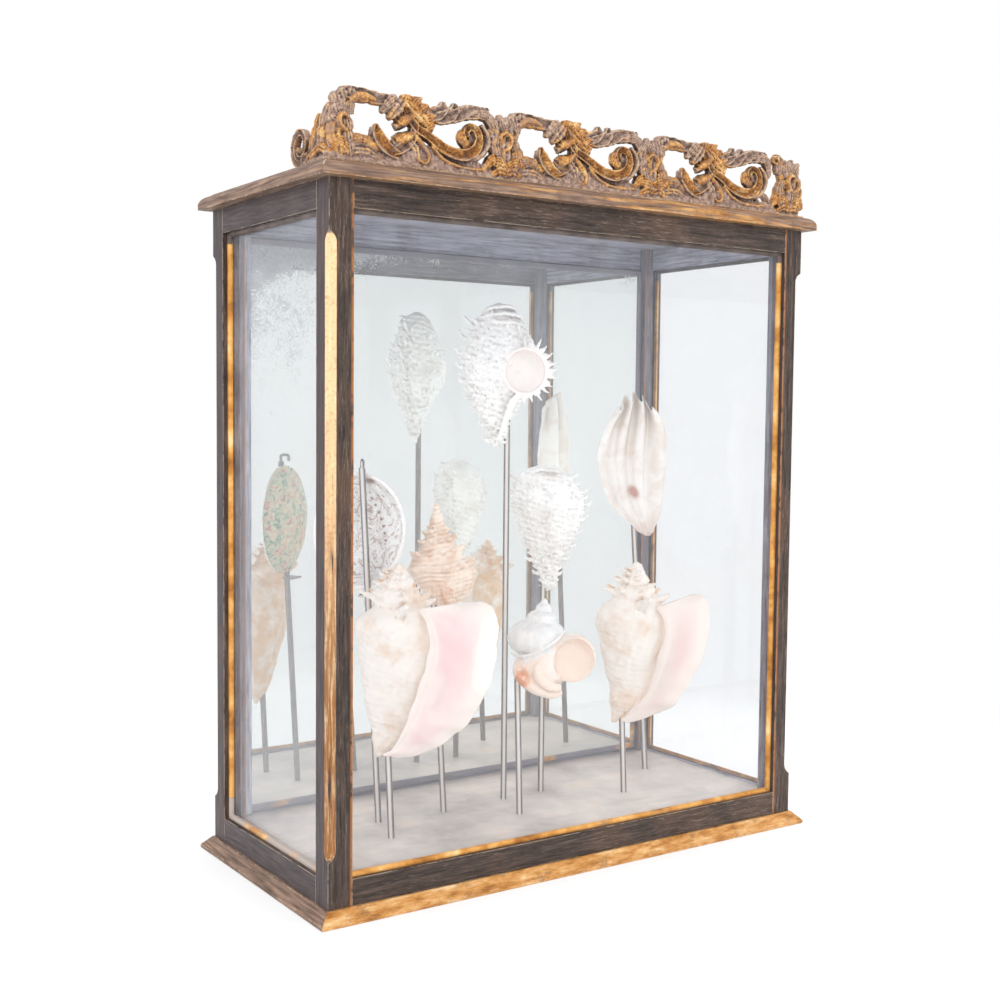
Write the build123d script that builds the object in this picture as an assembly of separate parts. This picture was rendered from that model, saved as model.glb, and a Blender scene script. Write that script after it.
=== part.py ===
from build123d import *
import math
import os

# A glazed display case for sea shells: a joined wooden carcass with glass on three
# sides, a hinged mirrored door at the back, a mitred plinth and cornice, a carved
# openwork cresting, and eight shells on steel rods.  Millimetres, +Z up, front towards
# -Y.  The origin is the centre of the carcass's footprint, at the plinth's underside.

# ---------------------------------------------------------------- driving dimensions
case_width = 700.0          # outside of the posts, along X
case_depth = 312.0          # outside of the posts, along Y
frame_height = 800.0        # top of the posts and top rails
plinth_height = 16.0        # base moulding, under the posts
plinth_inset = 30.0         # how far the base moulding runs in under the carcass
overhang = 14.0             # reach of plinth and cornice beyond the carcass
top_thickness = 18.5        # top board and cornice

post_size = 29.5
rail_thickness = 16.0
bottom_rail_height = 30.0
top_rail_height = 31.0
chamfer_leg = 9.0           # stopped chamfer on each post's outer arris
chamfer_foot = 52.0         # where the chamfer starts, above the post's foot
chamfer_head = 56.0         # where it ends, below the post's head
chamfer_stop = 12.0         # length of the scooped stop at each end

tenon_length = 16.0
tenon_thickness = 8.0
tenon_set = 4.0             # from the rail's outer face to the tenon
tenon_shoulder = 7.0        # shoulder above and below the tenon

bottom_board_thickness = 15.0
floor_thickness = 12.0

glass_thickness = 3.0
glass_set = 11.0            # from the carcass's outer face to the glass
groove_depth = 4.0
glass_play = 0.3            # each side of a pane, in its grooves
bead_width = 5.0
bead_depth = 5.0

door_gap = 1.2              # all round the rear door
door_frame_thickness = 17.0
stile_width = 46.0
door_rail_height = 52.0
mirror_thickness = 4.0
mirror_margin = 3.0         # from the door's edge to the mirror plate
mirror_bead_face = 8.0      # width of the gilt bead seen round the mirror
mirror_bead_lip = 2.0       # how far the bead stands in front of the mirror
backing_thickness = 5.0
backing_set = 6.0           # from the door frame's front to the backing
backing_groove = 6.0

stop_width = 8.0
stop_thickness = 5.0
stop_gap = 0.3              # between the door stop and the closed door

hinge_height = 60.0
hinge_end_distance = 110.0  # from the door's end to the middle of the hinge
hinge_leaf_width = 15.0
hinge_leaf_thickness = 1.5
hinge_leaf_play = 0.3       # between the two leaves when shut
knuckle_radius = 2.6
knuckle_clearance = 0.3
knuckle_count = 5
hinge_axis_set = 2.9        # from the door's back face to the hinge axis
pin_radius = 1.2
pin_clearance = 0.05

button_length = 44.0
button_width = 11.0
button_thickness = 3.0
button_end_distance = 190.0  # from the door's end to the turn-button
button_set = 9.5            # from the post's inner face to the turn-button's screw
button_gap = 0.4            # between the turn-button and the post's back face
screw_radius = 1.6
screw_head_radius = 3.6
screw_head_height = 1.8
screw_depth = 12.0

knob_radius = 7.0
knob_reach = 12.5
knob_flat = 1.5             # radius of the flat at the knob's end
knob_spigot_radius = 2.5
knob_spigot_depth = 9.0
spigot_clearance = 0.05

rod_radius = 4.0
rod_clearance = 0.05
rod_seat = 8.0              # depth of each rod's socket in the display floor
crest_height = 78.5
crest_thickness = 11.0
crest_repeat_count = 3
crest_reach = 3.0           # how far the cresting's first leaf passes the carcass

# ------------------------------------------------------------------ derived positions
half_width = case_width / 2
half_depth = case_depth / 2
opening_half_width = half_width - post_size
opening_low = plinth_height + bottom_rail_height
opening_high = frame_height - top_rail_height
opening_height = opening_high - opening_low
opening_middle = (opening_low + opening_high) / 2
board_top = plinth_height + bottom_board_thickness
floor_top = board_top + floor_thickness
roof = frame_height + top_thickness

door_back = half_depth
door_front = half_depth - door_frame_thickness
door_half_width = opening_half_width - door_gap
door_low = opening_low + door_gap
door_high = opening_high - door_gap
mirror_front = door_front - mirror_thickness
hinge_x = opening_half_width - door_gap / 2
hinge_y = door_back + hinge_axis_set
hinge_heights = [door_low + hinge_end_distance, door_high - hinge_end_distance]
button_x = -(opening_half_width + button_set)
button_heights = [door_low + button_end_distance, door_high - button_end_distance]

parts = {}


def block(x_range, y_range, z_range):
    """A rectangular block between two values on each axis, in either order."""
    size = [abs(b - a) for a, b in (x_range, y_range, z_range)]
    middle = [(a + b) / 2 for a, b in (x_range, y_range, z_range)]
    return Pos(*middle) * Box(*size)


def facing(side):
    """Turn a piece drawn for the front so that it faces the named side."""
    return Rot(0, 0, {"front": 0, "right": 90, "rear": 180, "left": -90}[side])


def run_of(side):
    """Length of the carcass along a side, and the side's distance from the centre."""
    if side in ("front", "rear"):
        return case_width, half_depth
    return case_depth, half_width


def mitred_strip(section, run, distance, reach_in, reach_out):
    """Sweep a section, drawn as (outward, height), along one side of a rectangle."""
    half_run = run / 2
    strip = extrude(section, amount=half_run + reach_out + 1, both=True)
    strip = Pos(0, -distance, 0) * strip
    near = half_run - reach_in
    far = half_run + reach_out + 1
    plan = Polygon(
        (-near, -distance + reach_in),
        (near, -distance + reach_in),
        (far, -distance - reach_out - 1),
        (-far, -distance - reach_out - 1),
        align=None,
    )
    return strip & extrude(plan, amount=2 * case_width, both=True)


def section_face(*edges):
    """A section drawn as (outward, height), laid in the plane across the front."""
    return Plane((0, 0, 0), x_dir=(0, -1, 0), z_dir=(-1, 0, 0)) * make_face(list(edges))


# ------------------------------------------------------------------- base and cornice
def plinth_section():
    """Base moulding: flat top, small fillet, sloping ovolo, square foot."""
    fillet_width = 2.5
    return section_face(
        Line((-plinth_inset, 0), (-plinth_inset, plinth_height)),
        Line((-plinth_inset, plinth_height), (fillet_width, plinth_height)),
        ThreePointArc((fillet_width, plinth_height), (9.0, 9.4), (overhang, 4.5)),
        Line((overhang, 4.5), (overhang, 1.0)),
        Line((overhang, 1.0), (overhang - 1.0, 0)),
        Line((overhang - 1.0, 0), (-plinth_inset, 0)),
    )


def cornice_section():
    """Cornice: flat soffit, upright nose, then an ovolo up to a quirk at the top."""
    nose_height = 7.0
    quirk = 1.5
    shoulder = top_thickness - 2.0
    return section_face(
        Line((0, 0), (overhang, 0)),
        Line((overhang, 0), (overhang, nose_height)),
        ThreePointArc((overhang, nose_height), (10.3, 13.4), (quirk, shoulder)),
        Line((quirk, shoulder), (quirk, top_thickness)),
        Line((quirk, top_thickness), (0, top_thickness)),
        Line((0, top_thickness), (0, 0)),
    )


for side in ("front", "right", "rear", "left"):
    run, distance = run_of(side)
    moulding = mitred_strip(plinth_section(), run, distance, plinth_inset, overhang)
    parts["base_moulding_" + side] = facing(side) * moulding
    moulding = mitred_strip(cornice_section(), run, distance, 0.0, overhang)
    parts["cornice_" + side] = facing(side) * Pos(0, 0, frame_height) * moulding

parts["top_board"] = block(
    (-half_width, half_width), (-half_depth, half_depth), (frame_height, roof)
)


# -------------------------------------------------------------------------- the posts
def corner_block(sx, sy, x_set, y_set, z_range):
    """A block at one corner; x_set and y_set are depths in from the outer faces."""
    x_range = [sx * (half_width - depth) for depth in x_set]
    y_range = [sy * (half_depth - depth) for depth in y_set]
    return block(x_range, y_range, z_range)


def chamfer_cutter(sx, sy):
    """A stopped chamfer with scooped ends, standing on the outer arris of a post."""
    flat = -chamfer_leg / math.sqrt(2)
    low = plinth_height + chamfer_foot
    high = frame_height - chamfer_head
    outline = make_face([
        Line((flat, low + chamfer_stop), (flat, high - chamfer_stop)),
        TangentArc((flat, high - chamfer_stop), (0.5, high), tangent=(0, 1)),
        Line((0.5, high), (4.0, high)),
        Line((4.0, high), (4.0, low)),
        Line((4.0, low), (0.5, low)),
        TangentArc((flat, low + chamfer_stop), (0.5, low), tangent=(0, -1)),
    ])
    diagonal = Vector(sx, sy, 0).normalized()
    upright = Plane((sx * half_width, sy * half_depth, 0), x_dir=diagonal,
                    z_dir=diagonal.cross(Vector(0, 0, 1)))
    return extrude(upright * outline, amount=2 * chamfer_leg, both=True)


def tenon_range(low, high):
    return (low + tenon_shoulder, high - tenon_shoulder)


def post(sx, sy):
    """One corner post with its mortises, glass grooves and stopped chamfer."""
    whole = (plinth_height, frame_height)
    body = corner_block(sx, sy, (0, post_size), (0, post_size), whole)
    body -= chamfer_cutter(sx, sy)
    bottom = tenon_range(plinth_height, opening_low)
    top = tenon_range(opening_high, frame_height)
    mortise = (tenon_set, tenon_set + tenon_thickness)
    deep = (post_size - tenon_length, post_size)
    for levels in (bottom, top):
        body -= corner_block(sx, sy, deep, mortise, levels)
        body -= corner_block(sx, sy, mortise, deep, levels)
    glazed = (opening_low - groove_depth, opening_high + groove_depth)
    across = (glass_set, glass_set + glass_thickness)
    into = (post_size - groove_depth, post_size)
    body -= corner_block(sx, sy, across, into, glazed)
    if sy < 0:
        body -= corner_block(sx, sy, into, across, glazed)
    return body


# ------------------------------------------------------------------- hinges and knob
def hinge_bands(middle):
    """The height ranges of a hinge's knuckles, from the bottom up."""
    pitch = hinge_height / knuckle_count
    low = middle - hinge_height / 2
    return [
        (low + i * pitch + knuckle_clearance / 2, low + (i + 1) * pitch - knuckle_clearance / 2)
        for i in range(knuckle_count)
    ]


def hinge_leaf(middle, towards_post):
    """One leaf: a plate let into the wood and the knuckles that belong to it."""
    turn = 1 if towards_post else -1
    near = turn * hinge_leaf_play / 2
    far = near + turn * hinge_leaf_thickness
    x_range = (hinge_x + near, hinge_x + far)
    levels = (middle - hinge_height / 2, middle + hinge_height / 2)
    leaf = block(x_range, (door_back - hinge_leaf_width, door_back), levels)
    for index, band in enumerate(hinge_bands(middle)):
        if (index % 2 == 0) == towards_post:
            leaf += block(x_range, (door_back, hinge_y), band)
            knuckle = Pos(hinge_x, hinge_y, sum(band) / 2)
            leaf += knuckle * Cylinder(knuckle_radius, band[1] - band[0])
    bore = Pos(hinge_x, hinge_y, middle) * Cylinder(pin_radius + pin_clearance, hinge_height + 2)
    return leaf - bore


def hinge_recess(middle, towards_post):
    """The shallow mortise for one hinge leaf."""
    turn = 1 if towards_post else -1
    x_range = (hinge_x, hinge_x + turn * (hinge_leaf_play / 2 + hinge_leaf_thickness))
    levels = (middle - hinge_height / 2, middle + hinge_height / 2)
    return block(x_range, (door_back - hinge_leaf_width, door_back + 1), levels)


def hinge_pin(middle):
    """Hinge pin with a small button head above the top knuckle."""
    head_height = 1.2
    head_radius = 2.3
    pin = Pos(hinge_x, hinge_y, middle) * Cylinder(pin_radius, hinge_height)
    top = middle + hinge_height / 2
    return pin + Pos(hinge_x, hinge_y, top + head_height / 2) * Cylinder(head_radius, head_height)


parts["hinge_leaves_case"] = [hinge_leaf(z, True) for z in hinge_heights]
parts["hinge_leaves_door"] = [hinge_leaf(z, False) for z in hinge_heights]
parts["hinge_pins"] = [hinge_pin(z) for z in hinge_heights]

for sx, sy, name in ((-1, -1, "front_left"), (1, -1, "front_right"),
                     (-1, 1, "rear_left"), (1, 1, "rear_right")):
    body = post(sx, sy)
    if name == "rear_right":
        for z in hinge_heights:
            body -= hinge_recess(z, True)
    if name == "rear_left":
        for z in button_heights:
            hole = Cylinder(screw_radius, screw_depth)
            body -= Pos(button_x, half_depth - screw_depth / 2, z) * Rot(90, 0, 0) * hole
    parts["post_" + name] = body


# -------------------------------------------------------------------------- the rails
def rail(side, low, high, glazed_edge):
    """A rail between two posts: tenons at both ends and a groove where glass sits."""
    run, distance = run_of(side)
    half = run / 2 - post_size
    outer = -distance
    body = block((-half, half), (outer, outer + rail_thickness), (low, high))
    tenon = (outer + tenon_set, outer + tenon_set + tenon_thickness)
    reach = half + tenon_length
    body += block((-reach, reach), tenon, tenon_range(low, high))
    if glazed_edge is not None:
        groove = (outer + glass_set, outer + glass_set + glass_thickness)
        if glazed_edge == "top":
            levels = (high - groove_depth, high)
        else:
            levels = (low, low + groove_depth)
        body -= block((-half, half), groove, levels)
    return facing(side) * body


for side in ("front", "right", "rear", "left"):
    glazed = side != "rear"
    parts["bottom_rail_" + side] = rail(
        side, plinth_height, opening_low, "top" if glazed else None)
    parts["top_rail_" + side] = rail(
        side, opening_high, frame_height, "bottom" if glazed else None)


# ----------------------------------------------------------------- boards inside
def inner_board(low, high):
    """A board that fills the carcass inside the rails, notched round the posts."""
    board_half_width = half_width - rail_thickness
    board_half_depth = half_depth - rail_thickness
    board = block((-board_half_width, board_half_width),
                  (-board_half_depth, board_half_depth), (low, high))
    for sx in (-1, 1):
        for sy in (-1, 1):
            board -= corner_block(sx, sy, (0, post_size), (0, post_size), (low, high))
    return board


parts["bottom_board"] = inner_board(plinth_height, board_top)


# ------------------------------------------------------------------- glass and beads
def bead_section():
    """Quarter-round glazing bead, drawn outward from the opening's edge."""
    hollow = bead_depth * 0.3
    return section_face(
        Line((-bead_width, 0), (0, 0)),
        Line((0, 0), (0, bead_depth)),
        Line((0, bead_depth), (-1.5, bead_depth)),
        ThreePointArc((-1.5, bead_depth), (-bead_width * 0.8, bead_depth * 0.72),
                      (-bead_width, hollow)),
        Line((-bead_width, hollow), (-bead_width, 0)),
    )


def picture_frame(section, width, height, reach_in, reach_out):
    """Four mitred strips round an opening; the section's height becomes outward."""
    strips = []
    for turn, run, distance in ((0, width, height / 2), (90, height, width / 2),
                                (180, width, height / 2), (270, height, width / 2)):
        strips.append(Rot(0, 0, turn) * mitred_strip(section, run, distance, reach_in, reach_out))
    return [Rot(90, 0, 0) * strip for strip in strips]


def glazing(side):
    """The pane and the four beads of one glazed side."""
    run, distance = run_of(side)
    width = run - 2 * post_size
    pane_half = width / 2 + groove_depth - glass_play
    inner = -distance + glass_set + glass_thickness
    levels = (opening_low - groove_depth, opening_high + groove_depth - glass_play)
    pane = block((-pane_half, pane_half), (inner - glass_thickness, inner), levels)
    beads = picture_frame(bead_section(), width, opening_height, bead_width, 0.0)
    seat = Pos(0, -distance + glass_set, opening_middle)
    turn = facing(side)
    return turn * pane, [turn * seat * bead for bead in beads]


for side in ("front", "left", "right"):
    parts["glass_" + side], parts["glazing_beads_" + side] = glazing(side)


# ------------------------------------------------------------------------- rear door
def door_stile(sx):
    """A door stile with two mortises and the groove for the backing."""
    edge = sx * door_half_width
    inner = sx * (door_half_width - stile_width)
    body = block((edge, inner), (door_front, door_back), (door_low, door_high))
    mortise = (door_front + tenon_set, door_front + tenon_set + tenon_thickness)
    reach = (inner, inner + sx * tenon_length)
    body -= block(reach, mortise, tenon_range(door_low, door_low + door_rail_height))
    body -= block(reach, mortise, tenon_range(door_high - door_rail_height, door_high))
    groove = (door_front + backing_set, door_front + backing_set + backing_thickness)
    body -= block((inner, inner + sx * backing_groove), groove,
                  (door_low + door_rail_height - backing_groove,
                   door_high - door_rail_height + backing_groove))
    return body


def door_rail(low, high, grooved_edge):
    half = door_half_width - stile_width
    body = block((-half, half), (door_front, door_back), (low, high))
    tenon = (door_front + tenon_set, door_front + tenon_set + tenon_thickness)
    reach = half + tenon_length
    body += block((-reach, reach), tenon, tenon_range(low, high))
    groove = (door_front + backing_set, door_front + backing_set + backing_thickness)
    if grooved_edge == "top":
        levels = (high - backing_groove, high)
    else:
        levels = (low, low + backing_groove)
    return body - block((-half, half), groove, levels)


def mirror_bead_section():
    """Bead round the mirror: a foot beside the plate and a lip in front of it."""
    front = mirror_thickness + mirror_bead_lip
    return section_face(
        Line((-mirror_margin, 0), (0, 0)),
        Line((0, 0), (0, front - 1.5)),
        ThreePointArc((0, front - 1.5), (-0.5, front - 0.5), (-1.5, front)),
        Line((-1.5, front), (-mirror_bead_face + 1.5, front)),
        ThreePointArc((-mirror_bead_face + 1.5, front), (-mirror_bead_face + 0.4, front - 0.5),
                      (-mirror_bead_face, mirror_thickness)),
        Line((-mirror_bead_face, mirror_thickness), (-mirror_margin, mirror_thickness)),
        Line((-mirror_margin, mirror_thickness), (-mirror_margin, 0)),
    )


hinge_stile = door_stile(1)
for z in hinge_heights:
    hinge_stile -= hinge_recess(z, False)
parts["door_stile_hinge"] = hinge_stile

knob_x = -(door_half_width - stile_width / 2)
free_stile = door_stile(-1)
spigot_hole = Cylinder(knob_spigot_radius + spigot_clearance, knob_spigot_depth)
free_stile -= Pos(knob_x, door_back - knob_spigot_depth / 2, opening_middle) * Rot(90, 0, 0) * spigot_hole
parts["door_stile_free"] = free_stile

parts["door_rail_bottom"] = door_rail(door_low, door_low + door_rail_height, "top")
parts["door_rail_top"] = door_rail(door_high - door_rail_height, door_high, "bottom")

backing_half = door_half_width - stile_width + backing_groove - glass_play
parts["mirror_backing"] = block(
    (-backing_half, backing_half),
    (door_front + backing_set, door_front + backing_set + backing_thickness),
    (door_low + door_rail_height - backing_groove,
     door_high - door_rail_height + backing_groove - glass_play),
)
parts["mirror_plate"] = block(
    (-door_half_width + mirror_margin, door_half_width - mirror_margin),
    (mirror_front, door_front),
    (door_low + mirror_margin, door_high - mirror_margin),
)
mirror_frame = picture_frame(mirror_bead_section(), 2 * door_half_width,
                             door_high - door_low, mirror_bead_face, 0.0)
parts["mirror_beads"] = [Pos(0, door_front, opening_middle) * strip for strip in mirror_frame]

stop_back = mirror_front - mirror_bead_lip - stop_gap
parts["door_stop"] = block(
    (-opening_half_width, -opening_half_width + stop_width),
    (stop_back - stop_thickness, stop_back),
    (opening_low, opening_high),
)


def door_knob():
    """Turned brass knob: spigot, rose, waist and rounded head, on one axis."""
    rose_radius = 6.0
    rose_height = 1.6
    waist_radius = 2.6
    waist_height = 4.6
    profile = make_face([
        Line((0, -knob_spigot_depth), (knob_spigot_radius, -knob_spigot_depth)),
        Line((knob_spigot_radius, -knob_spigot_depth), (knob_spigot_radius, 0)),
        Line((knob_spigot_radius, 0), (rose_radius, 0)),
        Line((rose_radius, 0), (rose_radius, rose_height * 0.5)),
        ThreePointArc((rose_radius, rose_height * 0.5), (4.0, rose_height * 1.2),
                      (waist_radius, waist_height)),
        ThreePointArc((waist_radius, waist_height), (knob_radius * 0.86, waist_height + 1.2),
                      (knob_radius, (waist_height + knob_reach) / 2)),
        ThreePointArc((knob_radius, (waist_height + knob_reach) / 2),
                      (knob_radius * 0.7, knob_reach - 1.1), (knob_flat, knob_reach)),
        Line((knob_flat, knob_reach), (0, knob_reach)),
        Line((0, knob_reach), (0, -knob_spigot_depth)),
    ])
    knob = revolve(Plane.XZ * profile, Axis.Z)
    return Pos(knob_x, door_back, opening_middle) * Rot(-90, 0, 0) * knob


parts["door_knob"] = door_knob()


def turn_button(z):
    """Waisted brass turn-button with a hole at its middle, standing upright."""
    bulge = button_width / 2
    waist = bulge * 0.8
    tip = button_length / 2
    tip_radius = 3.2
    outline = make_face([
        Line((-tip_radius, tip), (tip_radius, tip)),
        ThreePointArc((tip_radius, tip), (waist, tip / 2), (bulge, 0)),
        ThreePointArc((bulge, 0), (waist, -tip / 2), (tip_radius, -tip)),
        Line((tip_radius, -tip), (-tip_radius, -tip)),
        ThreePointArc((-tip_radius, -tip), (-waist, -tip / 2), (-bulge, 0)),
        ThreePointArc((-bulge, 0), (-waist, tip / 2), (-tip_radius, tip)),
    ])
    plate = extrude(outline, amount=button_thickness)
    plate -= Cylinder(screw_radius + pin_clearance, 4 * button_thickness)
    return Pos(button_x, half_depth + button_gap, z) * Rot(-90, 0, 0) * plate


def button_screw(z):
    """Round-headed screw that a turn-button turns on."""
    seat = button_gap + button_thickness + button_gap
    shank = Pos(0, 0, (seat - screw_depth) / 2) * Cylinder(screw_radius, seat + screw_depth)
    head = Pos(0, 0, seat + screw_head_height / 2) * Cylinder(screw_head_radius, screw_head_height)
    return Pos(button_x, half_depth, z) * Rot(-90, 0, 0) * (shank + head)


parts["turn_button_lower"] = turn_button(button_heights[0])
parts["turn_button_upper"] = turn_button(button_heights[1])
parts["turn_button_screws"] = [button_screw(z) for z in button_heights]


# --------------------------------------------------------------- rods, floor, shells
display_turn = -34.0        # the shells are turned to face the front left corner
usual_floor = 43.0          # the shells' heights are given for a floor at this level
usual_room = 726.0          # and for this height from it to the top rails

# The height of each shell's middle.
shell_heights = {
    "murex_upper": 610.0,
    "murex_lower": 409.0,
    "clam": 488.0,
    "queen_conch": 252.0,
    "pink_conch": 240.0,
    "tan_conch": 375.0,
    "abalone": 408.0,
    "turban": 262.0,
}

# Each straight rod: its foot on the display floor (x, y), its top end (x, y), and how far
# that end is above the middle of its shell.
rod_lines = {
    "murex_upper": ((0.4, 22.1), (0.4, 22.1), -62.0),
    "murex_lower": ((65.2, 27.2), (65.2, 27.2), -57.0),
    "clam": ((260.5, 40.0), (235.5, 45.0), -80.0),
    "queen_conch": ((-208.0, -44.0), (-214.5, -44.0), -76.0),
    "pink_conch": ((157.0, -38.0), (150.5, -38.0), -68.0),
    "tan_conch": ((-98.0, 14.0), (-119.5, 10.0), -29.0),
    "abalone": ((-190.0, 20.0), (-215.0, 20.0), 78.0),
}
turban_foot = (-20.6, -45.3)
turban_knee = (-29.0, -49.0, -40.0)     # the bent rod's knee and top end (x, y), and how
turban_top = (-14.0, -60.0, -16.0)      # far each is above the turban's middle
turban_bend_radius = 16.0
socket_cut = 3 * rod_seat               # length of the cutter for a rod's socket


def middle_height(name):
    """The height of a shell's middle, kept in proportion in a taller or lower case."""
    share = (shell_heights[name] - usual_floor) / usual_room
    return floor_top + (opening_high - floor_top) * share


def rod_axis(name):
    """The two ends of a straight rod, the lower one at the bottom of its socket."""
    (foot_x, foot_y), (top_x, top_y), rise = rod_lines[name]
    foot = Vector(foot_x, foot_y, floor_top)
    top = Vector(top_x, top_y, middle_height(name) + rise)
    direction = (top - foot).normalized()
    return foot - direction * rod_seat, top


def bar_between(start, end, radius):
    length = (end - start).length
    base = Plane(start, z_dir=end - start)
    return base * Pos(0, 0, length / 2) * Cylinder(radius, length)


def turban_path():
    """The bent rod's line: up from its socket, over the knee and into the turban."""
    start = Vector(turban_foot[0], turban_foot[1], floor_top)
    middle = Vector(0, 0, middle_height("turban"))
    knee = middle + Vector(*turban_knee)
    top = middle + Vector(*turban_top)
    start -= (knee - start).normalized() * rod_seat
    return FilletPolyline(start, knee, top, radius=turban_bend_radius)


def swept_rod(path, radius):
    return sweep(Plane(path @ 0, z_dir=path % 0) * Circle(radius), path)


def bar_socket(name, past_end):
    """The hole a rod stands in or a shell needs: the rod's own line, a clearance wider."""
    start, end = rod_axis(name)
    if past_end == "foot":
        end = start + (end - start).normalized() * socket_cut
    return bar_between(start, end, rod_radius + rod_clearance)


floor = inner_board(board_top, floor_top)
for name in rod_lines:
    floor -= bar_socket(name, "foot")
turban_start = turban_path() @ 0
turban_rise = turban_path() % 0
floor -= bar_between(turban_start, turban_start + turban_rise * socket_cut,
                     rod_radius + rod_clearance)
parts["display_floor"] = floor

parts["tall_rods"] = [bar_between(*rod_axis(name), rod_radius)
                      for name in ("murex_upper", "murex_lower", "clam")]
parts["short_rods"] = [bar_between(*rod_axis(name), rod_radius)
                       for name in ("queen_conch", "pink_conch", "tan_conch")]
parts["turban_rod"] = swept_rod(turban_path(), rod_radius)


def whorled_body(length, radius, spire_share, whorls, tip_radius, belly):
    """A coiled shell's body turned about its axis: apex up, whorls, belly and canal."""
    apex = length / 2
    shoulder = apex - spire_share * length
    corners = []
    for i in range(whorls + 1):
        share = i / whorls
        corners.append((apex_radius + radius * share ** whorl_growth,
                        apex - (apex - shoulder) * share ** spire_curve))
    edges = [Line((0, apex), corners[0])]
    for (r0, h0), (r1, h1) in zip(corners, corners[1:]):
        bulge = whorl_bulge * (r1 - r0)
        edges.append(ThreePointArc((r0, h0), ((r0 + r1) / 2 + bulge, (h0 + h1) / 2 + bulge / 2),
                                   (r1, h1)))
    low = -apex
    belly_point = (tip_radius + (radius - tip_radius) * belly_fullness,
                   shoulder + (low - shoulder) * belly)
    edges.append(ThreePointArc(corners[-1], belly_point, (tip_radius, low)))
    edges.append(Line((tip_radius, low), (0, low)))
    edges.append(Line((0, low), (0, apex)))
    return revolve(Plane.XZ * make_face(edges), Axis.Z)


def spines(count, radius, height, reach, root, rise):
    """A ring of tapering spines round the shoulder of a shell, rising by an angle."""
    spine = Rot(0, 90 - rise, 0) * Pos(0, 0, reach / 2) * Cone(root, root * spine_taper, reach)
    return [Rot(0, 0, 360 * i / count) * Pos(radius, 0, height) * spine for i in range(count)]


def wing(points, thickness, set_back):
    """A flared outer lip: a smooth outline across the view, of even thickness."""
    outline = make_face([Spline(points, periodic=True)])
    plate = extrude(Plane.XZ * outline, amount=thickness / 2, both=True)
    return Pos(0, set_back, 0) * plate


def oval_outline(width, height):
    """The rim of a smooth shell."""
    return Plane.XZ * Ellipse(width / 2, height / 2)


def scalloped_outline(width, height, folds, lobe):
    """The rim of a fluted shell: an oval whose edge swells out at each fold."""
    def rim(turn, swell):
        angle = 2 * math.pi * turn / folds
        return (swell * width / 2 * math.sin(angle), swell * height / 2 * math.cos(angle))

    edge = [ThreePointArc(rim(i, 1.0), rim(i + 0.5, 1.0 + lobe), rim(i + 1, 1.0))
            for i in range(folds)]
    return Plane.XZ * make_face(edge)


def dish(outline, height, depth, wall):
    """A shallow bowl standing on edge, hollow side towards -Y, cut to an outline."""
    hollow = depth - wall
    curve = ((height / 2) ** 2 + hollow ** 2) / (2 * hollow)
    bowl = Pos(0, hollow - curve, 0) * (Sphere(curve + wall) - Sphere(curve))
    return bowl & extrude(outline, amount=-2 * depth)


def placed(name, middle, lean, tilt, body):
    """Set a shell in the case; lean is sideways, tilt is towards the back."""
    spot = Pos(middle[0], middle[1], middle_height(name))
    return spot * Rot(0, 0, display_turn) * Rot(0, lean, 0) * Rot(tilt, 0, 0) * body


def murex(length, radius, spine_reach):
    """A spiny murex: a body with a row of long spines and a shorter one below it."""
    body = whorled_body(length, radius, spire_share=0.36, whorls=5, tip_radius=5.0, belly=0.42)
    shoulder = length * (0.5 - 0.36)
    root_radius = radius * 0.72
    for height, reach in ((shoulder - 4.0, spine_reach),
                          (shoulder - 0.2 * length, spine_reach * 0.8)):
        for spine in spines(7, root_radius, height, reach + radius - root_radius, 6.0, 24):
            body += spine
    return body


def conch(length, radius, spire_share, whorls, tip_radius, knobs):
    """A conch's body with blunt knobs round its shoulder."""
    body = whorled_body(length, radius, spire_share, whorls, tip_radius, belly=0.5)
    shoulder = length * (0.5 - spire_share)
    for knob in spines(8, radius * 0.7, shoulder + 2.0, *knobs):
        body += knob
    return body


def turban():
    """A turban shell: low whorls and a round mouth."""
    body = whorled_body(108, 47, spire_share=0.52, whorls=4, tip_radius=14.0, belly=0.42)
    return body + Pos(24, -10, -22) * Sphere(30)


def clam_valve():
    """One valve of a fluted clam, standing on its thick hinge end."""
    valve = dish(scalloped_outline(92, 193, clam_folds, 0.09), 203, 30, 5.0)
    return valve + Pos(0, 9, -88) * Sphere(14)


apex_radius = 0.8           # of every coiled shell
whorl_growth = 1.15
spire_curve = 0.8
whorl_bulge = 0.25
belly_fullness = 0.62
spine_taper = 0.25          # a spine's end radius as a share of its root's
clam_folds = 14

queen_lip = wing([(10, 30), (50, 66), (106, 62), (126, 10), (104, -54), (44, -98), (-2, -60)],
                 9, -14)
pink_lip = wing([(6, 34), (50, 66), (108, 82), (112, 30), (78, -40), (24, -88), (-2, -40)],
                8, -10)

shells = {
    "murex_upper": placed("murex_upper", (0, 24), -8, 0, murex(182, 44, 20)),
    "murex_lower": placed("murex_lower", (70, 24), -6, 0, murex(166, 36, 15)),
    "clam": placed("clam", (236, 40), -4, 0, clam_valve()),
    "queen_conch": placed("queen_conch", (-217, -47), 6, 0,
                          conch(225, 60, 0.30, 5, 7.0, (24, 8.0, 20)) + queen_lip),
    "pink_conch": placed("pink_conch", (147, -37), 7, 0,
                         conch(196, 42, 0.30, 5, 6.0, (20, 6.5, 20)) + pink_lip),
    "tan_conch": placed("tan_conch", (-112, 2), 14, 0,
                        conch(129, 40, 0.46, 6, 7.0, (16, 5.0, 16))),
}
for name, shell in shells.items():
    node = "clam_valve" if name == "clam" else name
    parts[node] = shell - bar_socket(name, "top")
parts["turban"] = (placed("turban", (-3, -60), 4, 0, turban())
                   - swept_rod(turban_path(), rod_radius + rod_clearance))

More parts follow.
